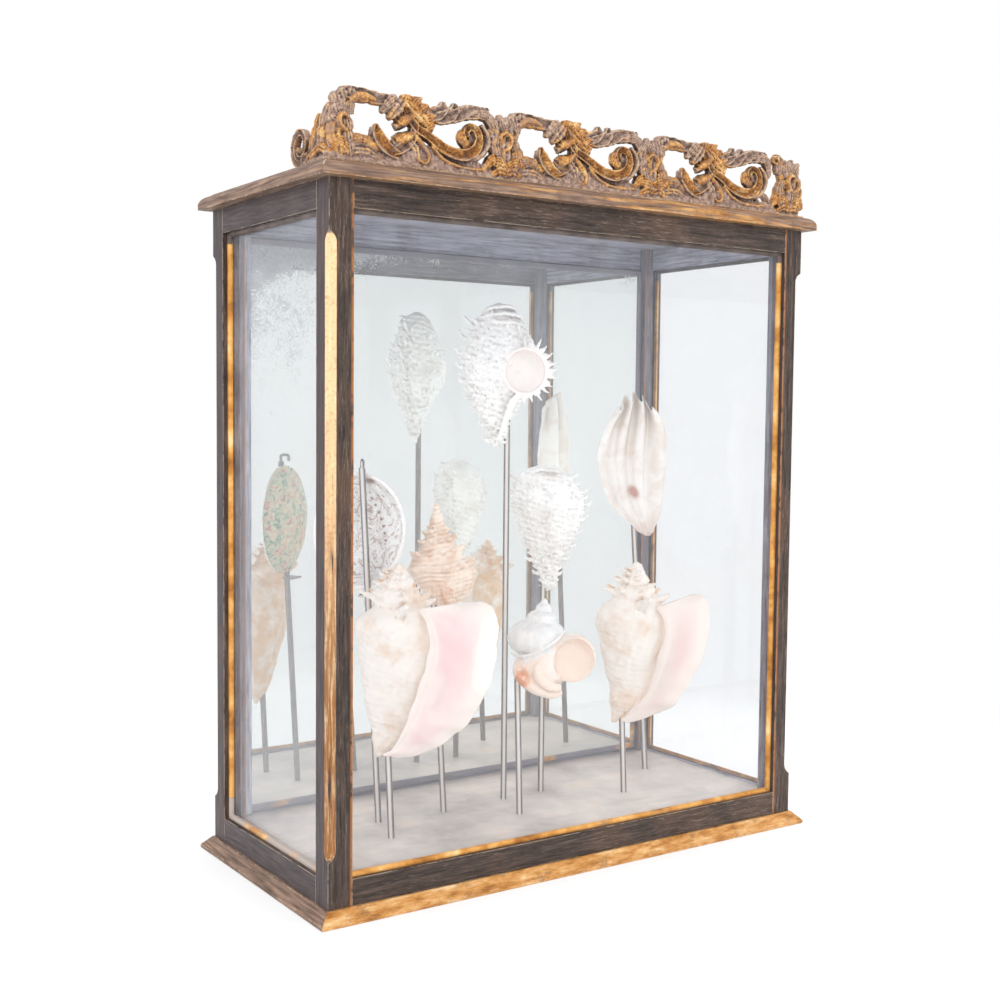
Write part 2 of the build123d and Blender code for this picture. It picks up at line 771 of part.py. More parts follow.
abalone_height = 158.0
abalone_wall = 4.0
seat_play = 0.3             # between a shell and the metal that carries it
claw_radius = 2.0
claw_rise = 9.0             # how far the claw's wire goes over the shell's rim
claw_reach = rod_radius + 8.0
claw_bend = 3.0
cradle_width = 24.0
cradle_depth = 16.0
cradle_thickness = 2.5

across = Vector(1, 0, 0).rotate(Axis.Z, display_turn)
inward = Vector(0, 1, 0).rotate(Axis.Z, display_turn)


def on_rod(name, height):
    """The point of a straight rod's axis at a height."""
    start, end = rod_axis(name)
    return start + (end - start) * ((height - start.Z) / (end.Z - start.Z))


abalone_level = middle_height("abalone")
abalone_middle = (on_rod("abalone", abalone_level) + inward * (rod_radius + seat_play)
                  - across * 10.0)
parts["abalone"] = placed("abalone", (abalone_middle.X, abalone_middle.Y), 3, 1.8,
                          dish(oval_outline(125, abalone_height), abalone_height, 34,
                               abalone_wall))


def abalone_stand():
    """The abalone's rod, with a claw over the shell's rim and a cradle under it."""
    start, end = rod_axis("abalone")
    stand = bar_between(start, end, rod_radius)
    over = Vector(0, 0, claw_rise)
    back = inward * claw_reach
    claw = FilletPolyline(end - over * 0.5, end + over, end + over + back,
                          end + back + over * 0.1, radius=claw_bend)
    stand += swept_rod(claw, claw_radius)
    below = abalone_level - abalone_height / 2 - seat_play
    seat = on_rod("abalone", below)
    frame = Pos(seat.X, seat.Y, below) * Rot(0, 0, display_turn)
    stand += frame * block((-cradle_width / 2, cradle_width / 2), (0, cradle_depth),
                           (-cradle_thickness, 0))
    return stand


parts["abalone_stand"] = abalone_stand()
# ------------------------------------------------------------------------- cresting
# Scrolled openwork along the top.  One repeat is drawn as (along, above) from the middle
# of its left-hand leaf cluster; each layer is cut to its own thickness, so that stems and
# volutes stand in front of the leaves and the leaves in front of the ground.
crest_front_y = -half_depth - 1.5
ridge_height = 9.0
left_cluster_set = 17.0     # from the left corner to the middle of the first cluster
right_cluster_set = 32.0    # from the right corner to the middle of the last one
return_length = 99.0        # how far the side pieces run back from the front corners
repeat = (case_width - left_cluster_set - right_cluster_set) / crest_repeat_count


def ribbon(points, width):
    """A band of even width along a smooth line."""
    return trace(Spline(points), width)


def volute(centre, start_radius, start_angle, turns, width):
    """A band that winds clockwise into an eye."""
    steps = 8
    points = []
    for i in range(steps + 1):
        share = i / steps
        angle = math.radians(start_angle - 360 * turns * share)
        radius = start_radius * (1 - 0.66 * share)
        points.append((centre[0] + radius * math.cos(angle),
                       centre[1] + radius * math.sin(angle)))
    return ribbon(points, width) + Pos(*centre) * Circle(width * 0.75)


def leaf(root, tip, width):
    """A pointed leaf between two arcs."""
    along = Vector(*tip) - Vector(*root)
    across = Vector(-along.Y, along.X).normalized() * width / 2
    middle = Vector(*root) + along * 0.45
    return make_face([
        ThreePointArc(root, middle + across, tip),
        ThreePointArc(tip, middle - across, root),
    ])


def fan(root, length, width, directions):
    """A spray of leaves from one root."""
    spray = Pos(*root) * Circle(width * 0.45)
    for angle in directions:
        tip = (root[0] + length * math.cos(math.radians(angle)),
               root[1] + length * math.sin(math.radians(angle)))
        spray += leaf(root, tip, width)
    return spray


def cluster():
    """The upright bunch of leaves between two repeats, centred on along = 0."""
    ground = fan((0, 24), 44, 19, (66, 90, 112))
    ground += fan((0, 8), 30, 17, (20, 50, 130, 160))
    ground += Pos(0, 30) * Rectangle(26, 60)
    relief = fan((-2, 22), 38, 14, (74, 104)) + fan((2, 6), 24, 12, (40, 90, 140))
    return ground, relief


def repeat_ground():
    """The flat part of one repeat: the arch, the twisted top bar and the leaf's ground."""
    arch = ribbon([(6, 52), (14, 64), (28, 70), (50, 69), (74, 66)], 15)
    bar = ribbon([(98, 62), (122, 62), (140, 66), (160, 70), (186, 69), (repeat, 62)], 15)
    bumps = [Pos(along, 71) * Circle(7) for along in (123, 142, 165)]
    web = leaf((64, 78), (118, 4), 34) + leaf((40, 4), (92, 26), 18)
    ground = arch + bar + web
    for bump in bumps:
        ground += bump
    return ground


def repeat_scrolls():
    """The raised stems of one repeat, ending in curls and a volute."""
    stem = ribbon([(71, 72), (80, 56), (90, 44), (108, 33), (127, 23), (146, 19), (164, 21), (171, 28)], 8)
    stem += volute((160, 37), 16, -60, -0.85, 8)
    inner_stem = ribbon([(75, 66), (84, 50), (84, 36), (78, 24), (66, 14)], 8)
    curls = Pos(66, 46) * Circle(8.5) + Pos(67, 28) * Circle(7.5)
    return stem + inner_stem + curls


def repeat_leaves():
    """The leaves of one repeat: acanthus at the crown and a tongue in the opening."""
    crown = fan((88, 50), 30, 15, (20, 52, 84, 116))
    tongue = leaf((66, 10), (39, 41), 16)
    return crown + tongue


def crest_layer(sketch, thickness):
    """Stand a sketch upright behind the cresting's front face."""
    return Pos(0, crest_front_y + thickness, roof) * extrude(Plane.XZ * sketch, amount=thickness)


def front_crest():
    """The cresting over the front, with a leaf that points past the right corner."""
    start = -half_width + left_cluster_set
    ridge_length = case_width + 2 * crest_reach
    ground = Pos(0, ridge_height / 2) * Rectangle(ridge_length, ridge_height)
    leaves = leaf((half_width - right_cluster_set, 12), (half_width + 2 * crest_reach, 24), 20)
    scrolls = Sketch()
    for i in range(crest_repeat_count + 1):
        low, high = cluster()
        ground += Pos(start + i * repeat, 0) * low
        leaves += Pos(start + i * repeat, 0) * high
    for i in range(crest_repeat_count):
        ground += Pos(start + i * repeat, 0) * repeat_ground()
        leaves += Pos(start + i * repeat, 0) * repeat_leaves()
        scrolls += Pos(start + i * repeat, 0) * repeat_scrolls()
    window = Pos(0, crest_height / 2) * Rectangle(case_width + 10.0, crest_height)
    body = Pos(0, 2.0, 0) * crest_layer(ground & window, crest_thickness - 4.0)
    body += Pos(0, 1.0, 0) * crest_layer(leaves & window, crest_thickness - 3.0)
    body += crest_layer(scrolls & window, crest_thickness)
    return body


def side_crest():
    """A side piece: a leaf that falls from the corner to a volute, on a low ridge."""
    first = crest_thickness - 1.5
    ground = Pos((first + return_length - 8) / 2, ridge_height / 2) * Rectangle(
        return_length - 8 - first, ridge_height)
    ground += leaf((first, 4), (42, 50), 26) + leaf((20, 2), (66, 24), 18)
    ground += leaf((first - 4, 2), (22, 34), 18)
    leaves = fan((28, 16), 30, 14, (40, 66, 92))
    scrolls = volute((76, 21), 15, -75, -0.85, 8)
    scrolls += ribbon([(14, 12), (34, 26), (52, 16), (66, 8), (80, 6)], 8)
    window = Pos((first + return_length) / 2, 30) * Rectangle(return_length - first, 60)
    upright = Plane((-half_width - 1.5, -half_depth, roof), x_dir=(0, 1, 0), z_dir=(1, 0, 0))
    body = Pos(2.0, 0, 0) * extrude(upright * (ground & window), amount=crest_thickness - 4.0)
    body += Pos(1.0, 0, 0) * extrude(upright * (leaves & window), amount=crest_thickness - 3.0)
    body += extrude(upright * (scrolls & window), amount=crest_thickness)
    return body


parts["crest_front"] = front_crest()
parts["crest_return_left"] = side_crest()
parts["crest_return_right"] = mirror(side_crest(), about=Plane.YZ)

# ------------------------------------------------------------------------- write out
os.makedirs("parts", exist_ok=True)
for node, shape in parts.items():
    solids = shape if isinstance(shape, list) else [shape]
    single = [solid for piece in solids for solid in piece.solids()]
    whole = single[0] if len(single) == 1 else Compound(children=single)
    export_step(whole, "parts/" + node + ".step")
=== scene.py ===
import math
import random

import bmesh
import bpy
from mathutils import Matrix, Vector, noise
from mathutils.kdtree import KDTree


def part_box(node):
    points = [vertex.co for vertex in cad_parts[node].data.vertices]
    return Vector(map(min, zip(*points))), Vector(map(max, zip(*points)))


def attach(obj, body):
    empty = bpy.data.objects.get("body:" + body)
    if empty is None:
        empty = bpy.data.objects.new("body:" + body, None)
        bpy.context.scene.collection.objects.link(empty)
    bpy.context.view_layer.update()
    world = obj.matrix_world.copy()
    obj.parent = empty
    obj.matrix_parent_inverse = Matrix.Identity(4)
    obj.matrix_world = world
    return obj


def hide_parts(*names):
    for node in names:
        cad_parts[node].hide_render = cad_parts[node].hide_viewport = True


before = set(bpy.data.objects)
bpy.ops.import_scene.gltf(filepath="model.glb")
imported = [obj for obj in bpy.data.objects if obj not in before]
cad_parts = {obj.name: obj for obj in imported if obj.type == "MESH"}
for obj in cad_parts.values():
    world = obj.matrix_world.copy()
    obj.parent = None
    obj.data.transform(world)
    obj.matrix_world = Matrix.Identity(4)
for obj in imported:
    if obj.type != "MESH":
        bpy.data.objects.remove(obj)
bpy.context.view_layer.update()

MM = 0.001

# --------------------------------------------------------------------------- camera
CAMERA_TARGET = Vector((-0.02468, 0.0, 0.4427))
CAMERA_AZIMUTH = math.radians(-34.2114)         # 0 looks along +Y
CAMERA_ELEVATION = math.radians(3.6445)
CAMERA_ROLL = math.radians(0.553)
CAMERA_DISTANCE = 1.75528
CAMERA_LENS = 49.10


def make_camera():
    """A camera at the photograph's angle."""
    data = bpy.data.cameras.new("camera")
    data.lens = CAMERA_LENS
    data.sensor_width = 36.0
    data.clip_start = 0.01
    camera = bpy.data.objects.new("camera", data)
    camera.matrix_world = (Matrix.Translation(CAMERA_TARGET)
                           @ Matrix.Rotation(CAMERA_AZIMUTH, 4, "Z")
                           @ Matrix.Rotation(math.pi / 2 - CAMERA_ELEVATION, 4, "X")
                           @ Matrix.Rotation(CAMERA_ROLL, 4, "Z")
                           @ Matrix.Translation((0, 0, CAMERA_DISTANCE)))
    bpy.context.scene.collection.objects.link(camera)
    bpy.context.scene.camera = camera


# -------------------------------------------------------- building blocks: node trees
def rgb(red, green, blue):
    """A colour given as it is seen on a screen, 0-255, as the linear values of a shader."""
    def linear(value):
        share = value / 255
        return share / 12.92 if share <= 0.04045 else ((share + 0.055) / 1.055) ** 2.4
    return tuple(linear(value) for value in (red, green, blue))


def dimmed(colour, share):
    """A linear colour that gives back a share of the light of a screen colour."""
    return (*(share * value for value in rgb(*colour)), 1.0)


class Nodes:
    """A node tree that is written down in a few calls.

    A value is a number, another node's output, a screen colour of three numbers or a linear
    colour of four.
    """

    def __init__(self, tree):
        self.tree = tree

    def put(self, socket, value):
        if isinstance(value, bpy.types.NodeSocket):
            self.tree.links.new(value, socket)
        elif socket.type == "RGBA" and len(value) == 3:
            socket.default_value = (*rgb(*value), 1.0)
        else:
            socket.default_value = value

    def add(self, kind, inputs, **settings):
        node = self.tree.nodes.new("ShaderNode" + kind)
        for name, value in settings.items():
            setattr(node, name, value)
        for name, value in inputs.items():
            self.put(node.inputs[name], value)
        return node

    def math(self, kind, first, second=0.0, clamp=False):
        return self.add("Math", {0: first, 1: second}, operation=kind, use_clamp=clamp).outputs[0]

    def times(self, *values):
        product = values[0]
        for value in values[1:]:
            product = self.math("MULTIPLY", product, value)
        return product

    def total(self, *pairs):
        """The sum of values that are each given with a weight."""
        result = self.times(*pairs[0])
        for pair in pairs[1:]:
            result = self.math("ADD", result, self.times(*pair))
        return result

    def seen(self):
        """1 for the camera's own rays, for reflections and through glass, 0 for light."""
        path = self.add("LightPath", {})
        camera, glossy, through = (path.outputs[f"Is {kind} Ray"]
                                   for kind in ("Camera", "Glossy", "Transmission"))
        return self.math("MAXIMUM", camera, self.math("MAXIMUM", glossy, through))

    def either(self, share, first, second):
        """A mix of two shaders."""
        return self.add("MixShader", {0: share, 1: first, 2: second}).outputs[0]


class Shader(Nodes):
    """A node material."""

    def __init__(self, name):
        self.material = bpy.data.materials.new(name)
        self.material.use_nodes = True
        super().__init__(self.material.node_tree)
        self.surface = self.tree.nodes["Principled BSDF"]
        self.point = self.add("TexCoord", {}).outputs["Object"]

    def give(self, **values):
        """Set the surface's own sockets."""
        for name, value in values.items():
            self.put(self.surface.inputs[name.replace("_", " ")], value)

    def finished(self, tone, rough, normal, **others):
        self.give(Base_Color=tone, Roughness=rough, Normal=normal, **others)
        return self.material

    def output(self, shader):
        self.put(self.tree.nodes["Material Output"].inputs["Surface"], shader)
        return self.material

    def stretched(self, scale):
        return self.add("Mapping", {"Vector": self.point, "Scale": scale}).outputs["Vector"]

    def noise(self, scale, detail, rough, vector=None, distortion=0.0):
        return self.add("TexNoise", {"Vector": vector or self.point, "Scale": scale,
                                     "Detail": detail, "Roughness": rough,
                                     "Distortion": distortion}).outputs["Fac"]

    def steps(self, value, low, high, from_value=0.0, to_value=1.0):
        """Smoothly map low..high to 0..1 or to two other values."""
        return self.add("MapRange", {"Value": value, "From Min": low, "From Max": high,
                                     "To Min": from_value, "To Max": to_value},
                        interpolation_type="SMOOTHSTEP").outputs["Result"]

    def mix(self, share, first, second):
        return self.add("Mix", {"Factor": share, 6: first, 7: second},
                        data_type="RGBA").outputs[2]

    def tint(self, tone, share, amount, colour):
        """Lay a colour over a tone."""
        return self.mix(self.times(share, amount), tone, colour)

    def ramp(self, value, *stops):
        """Colours along a value; a stop is its place and a screen colour."""
        node = self.add("ValToRGB", {"Fac": value})
        elements = node.color_ramp.elements
        for i, (place, *colour) in enumerate(stops):
            element = elements[i] if i < 2 else elements.new(place)
            element.position = place
            element.color = (*rgb(*colour), 1.0)
        return node.outputs["Color"]

    def bump(self, height, strength, distance, rounding=None):
        inputs = {"Height": height, "Strength": strength, "Distance": distance}
        if rounding:
            inputs["Normal"] = self.rounded(rounding)
        return self.add("Bump", inputs).outputs["Normal"]

    def axis(self, name):
        """One coordinate of the point, in metres."""
        return self.add("SeparateXYZ", {0: self.point}).outputs[name]

    def geometry(self, name):
        return self.add("NewGeometry", {}).outputs[name]

    def attribute(self, name):
        return self.add("Attribute", {}, attribute_name=name).outputs["Fac"]

    def facing(self, name, sign=1.0):
        """How far the surface faces along an axis: 1 straight along it, -1 away from it."""
        split = self.add("SeparateXYZ", {0: self.geometry("True Normal")})
        return self.times(split.outputs[name], sign)

    def rounded(self, radius):
        """The normal as it would be with edges rounded off."""
        return self.add("Bevel", {"Radius": radius}, samples=4).outputs["Normal"]

    def edges(self, radius):
        """1 close to an edge of the mesh and 0 away from it."""
        dot = self.add("VectorMath", {0: self.rounded(radius), 1: self.geometry("Normal")},
                       operation="DOT_PRODUCT")
        away = self.math("SUBTRACT", 1.0, dot.outputs["Value"], clamp=True)
        return self.steps(away, 0.01, 0.12)

    def hollows(self):
        """About 0.5 on the flat of a fine mesh, less in its hollows, more on its ridges."""
        return self.geometry("Pointiness")

    def shelter(self, reach):
        """1 in the open and 0 where the surface is hemmed in within the reach."""
        return self.add("AmbientOcclusion", {"Distance": reach}, samples=6,
                        only_local=True).outputs["AO"]


# ---------------------------------------------------------------- lights and setting
MIDDLE = (0.0, 0.0, 0.45)
PURE = (1.0, 1.0, 1.0)
# name, place, size, power, colour: a broad key from the front left, a fill and a top light
LAMPS = (("key", (-1.6, -2.6, 2.0), (2.2, 2.2), 44.0, PURE),
         ("fill", (2.6, -1.6, 1.2), (2.2, 2.2), 24.0, PURE),
         ("top", (0.0, 0.2, 3.0), (2.4, 2.4), 22.0, PURE),
         ("through_right", (2.4, 0.30, 0.9), (1.2, 1.6), 24.0, PURE),
         ("through_left", (-2.4, 0.20, 0.9), (1.2, 1.6), 14.0, (0.90, 0.92, 1.0)))
MIRROR_LAMP = (0.58, 0.68), 0.85, PURE      # what the mirror throws back onto the shells
MIRROR_LAMP_GAP = 0.006
WORLD_LIGHT = 0.95
FLOOR_HALF = 6.0
FLOOR_LIFT = 0.45           # how far the floor near the object is lifted towards white


def area_light(name, place, size, power, colour, aim=MIDDLE):
    data = bpy.data.lights.new(name, "AREA")
    data.shape = "RECTANGLE"
    data.size, data.size_y = size
    data.energy = power
    data.color = colour
    lamp = bpy.data.objects.new(name, data)
    lamp.location = place
    lamp.rotation_euler = (Vector(aim) - Vector(place)).to_track_quat("-Z", "Y").to_euler()
    lamp.visible_camera = lamp.visible_glossy = lamp.visible_transmission = False
    bpy.context.scene.collection.objects.link(lamp)


def make_lights():
    """Soft studio light."""
    for lamp in LAMPS:
        area_light(*lamp)
    low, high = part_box("mirror_plate")
    x, z = (low.x + high.x) / 2, (low.z + high.z) / 2
    area_light("mirror_bounce", (x, low.y - MIRROR_LAMP_GAP, z), *MIRROR_LAMP, (x, -1.0, z))


def make_world():
    """White to the camera, in reflections and through glass; softer as a light."""
    world = bpy.data.worlds.new("studio")
    bpy.context.scene.world = world
    world.use_nodes = True
    world.node_tree.nodes.clear()
    nodes = Nodes(world.node_tree)
    light, backdrop = (nodes.add("Background", {"Color": (*PURE, 1.0), "Strength": strength})
                       for strength in (WORLD_LIGHT, 1.0))
    sky = nodes.either(nodes.seen(), light.outputs[0], backdrop.outputs[0])
    nodes.add("OutputWorld", {"Surface": sky})


def make_floor():
    """A plain pale floor: white to the camera away from the object, with its shadow kept."""
    bpy.ops.mesh.primitive_plane_add(size=2 * FLOOR_HALF, location=(0, 0, 0))
    floor = bpy.context.object
    floor.name = "floor"
    shade = Shader("floor_paint")
    shade.give(Base_Color=(0.92, 0.92, 0.92, 1.0), Roughness=0.9, Specular_IOR_Level=0.1)
    distance = shade.add("VectorMath", {0: shade.point}, operation="LENGTH").outputs["Value"]
    near = shade.steps(shade.steps(distance, 0.5, 1.3), 0.0, 1.0, FLOOR_LIFT, 1.0)
    white = shade.add("Emission", {"Color": (*PURE, 1.0), "Strength": 1.0}).outputs[0]
    floor.data.materials.append(shade.output(shade.either(
        shade.times(near, shade.seen()), shade.surface.outputs[0], white)))


# -------------------------------------------------------------------------- materials
GRAIN_STRETCH = {"X": (0.06, 1.0, 1.0), "Y": (1.0, 0.06, 1.0), "Z": (1.0, 1.0, 0.06)}
SHORT_STRETCH = {"X": (0.25, 1.0, 1.0), "Y": (1.0, 0.25, 1.0)}
SILVER_LEFT = 0.80          # the rest of the old mirror scatters light as a pale haze
CEILING_PLAY = 0.0002
INSIDE_FADE = (0.0008, 0.0002)                  # past the limits of the display space
LOWER_BEAD_Z, LEFT_BEAD_X = (0.075, 0.070), (-0.325, -0.331)
UPPER_BEAD_Z = (0.752, 0.762)
FOXED_X, FOXED_Z = (-0.02, -0.33), (0.44, 0.76)     # towards the mirror's worst corner
FOXED_TOP_Z = (0.715, 0.765)
# the rods' painted highlight lies where their surface faces this way
PAINTED_HIGHLIGHT_X, PAINTED_HIGHLIGHT_Y = -0.56, -0.83         # where the rods' bright side faces


def inside_case(shade):
    """1 on what lies within the display space, 0 on the outer faces."""
    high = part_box("display_floor")[1]
    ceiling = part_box("top_rail_front")[1].z + CEILING_PLAY
    across, deep = (shade.math("ABSOLUTE", shade.axis(name)) for name in "XY")
    return shade.times(*[shade.steps(value, *(limit + past for past in INSIDE_FADE))
                         for value, limit in ((across, high.x), (deep, high.y),
                                              (shade.axis("Z"), ceiling))])


def wood(name, along, sheen_amount=0.98, gilt=False):
    """Ebonised wood gone brown: fine streaks along the grain, edges rubbed pale."""
    shade = Shader(name)
    grain = shade.stretched(GRAIN_STRETCH[along])
    streaks = shade.noise(300.0, 7.0, 0.70, grain)
    pores = shade.noise(1300.0, 3.0, 0.6, grain)
    patches = shade.noise(9.0, 4.0, 0.6)
    chips = shade.noise(55.0, 6.0, 0.72)
    tone = shade.ramp(streaks, (0.36, 28, 19, 15), (0.46, 50, 37, 30), (0.56, 68, 52, 43),
                      (0.68, 98, 80, 69))
    tone = shade.tint(tone, shade.steps(patches, 0.45, 0.72), 0.30, (116, 84, 62))
    tone = shade.tint(tone, shade.steps(pores, 0.54, 0.66), 0.55, (22, 15, 12))
    # the front faces are scratched pale; the faces turned to the left get a painted slate-grey
    # shade
    ahead = shade.steps(shade.facing("Y", -1.0), 0.4, 0.9)
    scratch = shade.times(shade.steps(shade.noise(1100.0, 5.0, 0.75, grain), 0.55, 0.66),
                          shade.steps(patches, 0.36, 0.60, 0.25, 0.85))
    tone = shade.tint(tone, scratch, shade.steps(ahead, 0.0, 1.0, 0.20, 0.60), (160, 144, 134))
    tone = shade.tint(tone, shade.steps(shade.facing("X", -1.0), 0.4, 0.9), 0.55, (62, 52, 58))
    rubbed = shade.times(shade.edges(0.0015), shade.steps(chips, 0.40, 0.54))
    tone = shade.tint(tone, rubbed, 0.85, (206, 188, 168))
    # inside the case a pale blue-grey painted sheen lies over the dark finish
    painted_sheen = shade.ramp(streaks, (0.36, 112, 112, 128), (0.47, 158, 158, 172),
                       (0.58, 184, 184, 198), (0.68, 212, 211, 220))
    sheen_share = shade.steps(shade.noise(24.0, 5.0, 0.65), 0.30, 0.60, 0.62 * sheen_amount, sheen_amount)
    tone = shade.tint(tone, inside_case(shade), sheen_share, painted_sheen)
    if gilt:
        tone = gilt_post(shade, tone, ahead, chips, grain)
    return shade.finished(tone, shade.steps(streaks, 0.3, 0.7, 0.58, 0.36),
                          shade.bump(shade.total((streaks, 0.6), (pores, 0.4)), 0.45, 0.0008,
                                     0.0011))


def gilt_post(shade, tone, ahead, chips, grain):
    """The posts' inner arris shows brown under its rubbed finish; the chamfers are gilt."""
    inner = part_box("post_front_right")[0].x
    arris = shade.steps(shade.math("ABSOLUTE", shade.axis("X")), inner + 0.0040, inner + 0.0012)
    tone = shade.tint(tone, shade.times(arris, ahead, shade.steps(chips, 0.34, 0.50)), 0.85,
                      (164, 102, 50))
    gold = shade.mix(shade.steps(shade.axis("Z"), 0.24, 0.58), (142, 90, 40), (230, 188, 142))
    # painted highlights: pale streaks along the grain of the gold
    painted_glint = shade.steps(shade.noise(420.0, 5.0, 0.66, grain), 0.46, 0.68)
    gold = shade.tint(gold, painted_glint, 0.45, (250, 222, 178))
    gloom = shade.steps(shade.noise(260.0, 6.0, 0.7), 0.38, 0.50, 1.0, 0.0)
    gold = shade.tint(gold, gloom, 0.35, (132, 84, 42))
    slope = shade.math("ABSOLUTE", shade.times(shade.facing("X"), shade.facing("Y")))
    flaked = shade.steps(shade.noise(70.0, 7.0, 0.72, grain), 0.34, 0.42)
    return shade.tint(tone, shade.steps(slope, 0.20, 0.34), flaked, gold)


def bead_gilding(name, left):
    """Thin gilt beads; left says how much gold is on them below the top of the glass."""
    shade = Shader(name)
    streaks = shade.noise(26.0, 5.0, 0.6)
    # the lower left bead is rubbed nearly bare
    lower_left = shade.times(shade.steps(shade.axis("Z"), *LOWER_BEAD_Z),
                             shade.steps(shade.axis("X"), *LEFT_BEAD_X))
    amount = shade.total((shade.steps(shade.axis("Z"), *UPPER_BEAD_Z, left, 0.18), 1.0),
                         (lower_left, -0.22), (shade.noise(9.0, 4.0, 0.6), -1.0))
    kept = shade.steps(amount, -0.05, 0.07)
    gold = shade.ramp(streaks, (0.32, 150, 92, 34), (0.46, 204, 140, 62), (0.58, 232, 176, 100),
                      (0.70, 250, 220, 164))
    bare = shade.ramp(streaks, (0.36, 62, 50, 46), (0.60, 104, 90, 84))
    # inside the case the bare beads get a painted blue-grey sheen
    bare = shade.tint(bare, inside_case(shade), 0.5, (160, 160, 172))
    bare = shade.tint(bare, lower_left, 0.65, (204, 190, 180))
    chips = shade.steps(shade.noise(150.0, 5.0, 0.7), 0.52, 0.60)
    tone = shade.tint(shade.mix(kept, bare, gold), shade.times(shade.edges(0.0008), chips), 0.7,
                      (240, 226, 204))
    return shade.finished(tone, 0.42, shade.bump(streaks, 0.3, 0.0004),
                          Metallic=shade.times(kept, 0.25))


def gilt_wood(name, along, share, bright=1.0):
    """Worn water gilding over brown wood; share is how much of the gold is left."""
    shade = Shader(name)
    grain = shade.stretched(GRAIN_STRETCH[along])
    fine = shade.noise(230.0, 5.0, 0.7, grain)
    streaks = shade.noise(300.0, 4.0, 0.6, grain)
    edge = shade.edges(0.0018)
    left = shade.total((shade.noise(24.0, 6.0, 0.66, grain), 0.62), (fine, 0.38), (edge, 0.10))
    level = 0.74 - 0.48 * share
    kept = shade.steps(left, level, level + 0.09)
    bare = shade.ramp(streaks, (0.3, 72, 52, 42), (0.5, 122, 97, 82), (0.7, 162, 132, 110))
    gold = shade.ramp(shade.noise(110.0, 6.0, 0.68, shade.stretched(SHORT_STRETCH[along])),
                      *[(place, *(bright * value for value in colour)) for place, *colour in
                        ((0.34, 152, 95, 38), (0.48, 198, 138, 70), (0.60, 220, 170, 110),
                         (0.72, 244, 214, 172))])
    grime = shade.steps(shade.noise(46.0, 6.0, 0.7), 0.52, 0.68)
    tone = shade.tint(shade.mix(kept, bare, gold), grime, 0.5, (92, 74, 60))
    chips = shade.steps(shade.noise(120.0, 5.0, 0.7), 0.50, 0.60)
    tone = shade.tint(tone, shade.times(edge, chips), 0.85, (232, 214, 184))
    return shade.finished(tone, shade.steps(kept, 0.0, 1.0, 0.6, 0.42),
                          shade.bump(shade.total((fine, 0.6), (streaks, 0.4)), 0.4, 0.0007,
                                     0.001),
                          Metallic=shade.times(kept, 0.25))


def floor_paint():
    """The display floor: pale pinkish-grey painted board with a cloudy, grained surface."""
    shade = Shader("floor_board")
    fine = shade.noise(75.0, 6.0, 0.7, shade.stretched((0.12, 1.0, 1.0)))
    tone = shade.ramp(shade.noise(9.0, 7.0, 0.65), (0.34, 166, 156, 150), (0.48, 196, 187, 181),
                      (0.66, 222, 211, 202))
    tone = shade.tint(tone, shade.steps(fine, 0.36, 0.52, 1.0, 0.0), 0.4, (178, 164, 152))
    warm = shade.steps(shade.noise(16.0, 4.0, 0.6), 0.54, 0.7)
    tone = shade.tint(tone, warm, 0.4, (222, 200, 180))
    return shade.finished(tone, shade.steps(fine, 0.3, 0.7, 0.34, 0.55),
                          shade.bump(fine, 0.25, 0.0005))


def window_glass():
    """Thin old glass: clear, mirroring by Fresnel, with a trace of dust on it."""
    shade = Shader("old_glass")
    clear = shade.add("BsdfTransparent", {"Color": (0.978, 0.982, 0.986, 1.0)}).outputs[0]
    gloss = shade.add("BsdfGlossy", {"Color": (0.95, 0.97, 1.0, 1.0), "Roughness": 0.02})
    slant = shade.math("POWER", shade.add("LayerWeight", {"Blend": 0.5}).outputs["Facing"], 5.0)
    mirrored = shade.math("ADD", 0.04, shade.times(slant, 0.96))
    pane = shade.either(mirrored, clear, gloss.outputs[0])
    shade.give(Base_Color=(214, 220, 232), Roughness=0.8)
    dust = shade.steps(shade.noise(7.0, 6.0, 0.7), 0.35, 0.75, 0.012, 0.045)
    return shade.output(shade.either(dust, pane, shade.surface.outputs[0]))


def silvered_mirror():
    """Old mercury mirror: faintly green-blue, foxed in specks towards its upper left."""
    shade = Shader("old_mirror")
    x, z = shade.axis("X"), shade.axis("Z")
    corner = shade.times(shade.steps(x, *FOXED_X), shade.steps(z, *FOXED_Z))
    speck = shade.noise(420.0, 4.0, 0.75)
    amount = shade.total((shade.noise(15.0, 8.0, 0.80), 0.55), (speck, 0.45), (corner, 0.24),
                         (shade.steps(z, *FOXED_TOP_Z), 0.13))
    foxed = shade.steps(amount, 0.63, 0.80)
    specks = shade.ramp(speck, (0.3, 126, 132, 138), (0.5, 168, 172, 175), (0.7, 202, 203, 199))
    tone = shade.mix(shade.times(foxed, 0.9), (240, 243, 241), specks)
    return shade.finished(tone, shade.steps(foxed, 0.0, 1.0, 0.015, 0.6),
                          shade.bump(shade.noise(3.0, 1.0, 0.4), 0.05, 0.004),
                          Metallic=shade.steps(foxed, 0.0, 1.0, SILVER_LEFT, 0.2))


def metal(name, dark, light, rough, solid=0.85, painted_highlight=0.0):
    """Metal with dulled streaks and darker spots, and a painted highlight on one side."""
    shade = Shader(name)
    streaks = shade.noise(600.0, 4.0, 0.6, shade.stretched(GRAIN_STRETCH["Z"]))
    spots = shade.noise(60.0, 6.0, 0.7)
    tone = shade.ramp(streaks, (0.3, *dark), (0.7, *light))
    tone = shade.tint(tone, shade.steps(spots, 0.55, 0.72), 0.5, dimmed(dark, 0.40))
    # painted highlight: pale where the surface faces one fixed way
    bright = shade.math("ADD", shade.facing("X", PAINTED_HIGHLIGHT_X), shade.facing("Y", PAINTED_HIGHLIGHT_Y))
    tone = shade.mix(shade.steps(bright, 0.80, 0.985, 0.0, painted_highlight), tone, (240, 235, 231))
    return shade.finished(tone, shade.steps(spots, 0.35, 0.7, rough, rough + 0.22),
                          shade.bump(streaks, 0.12, 0.0003), Metallic=solid)


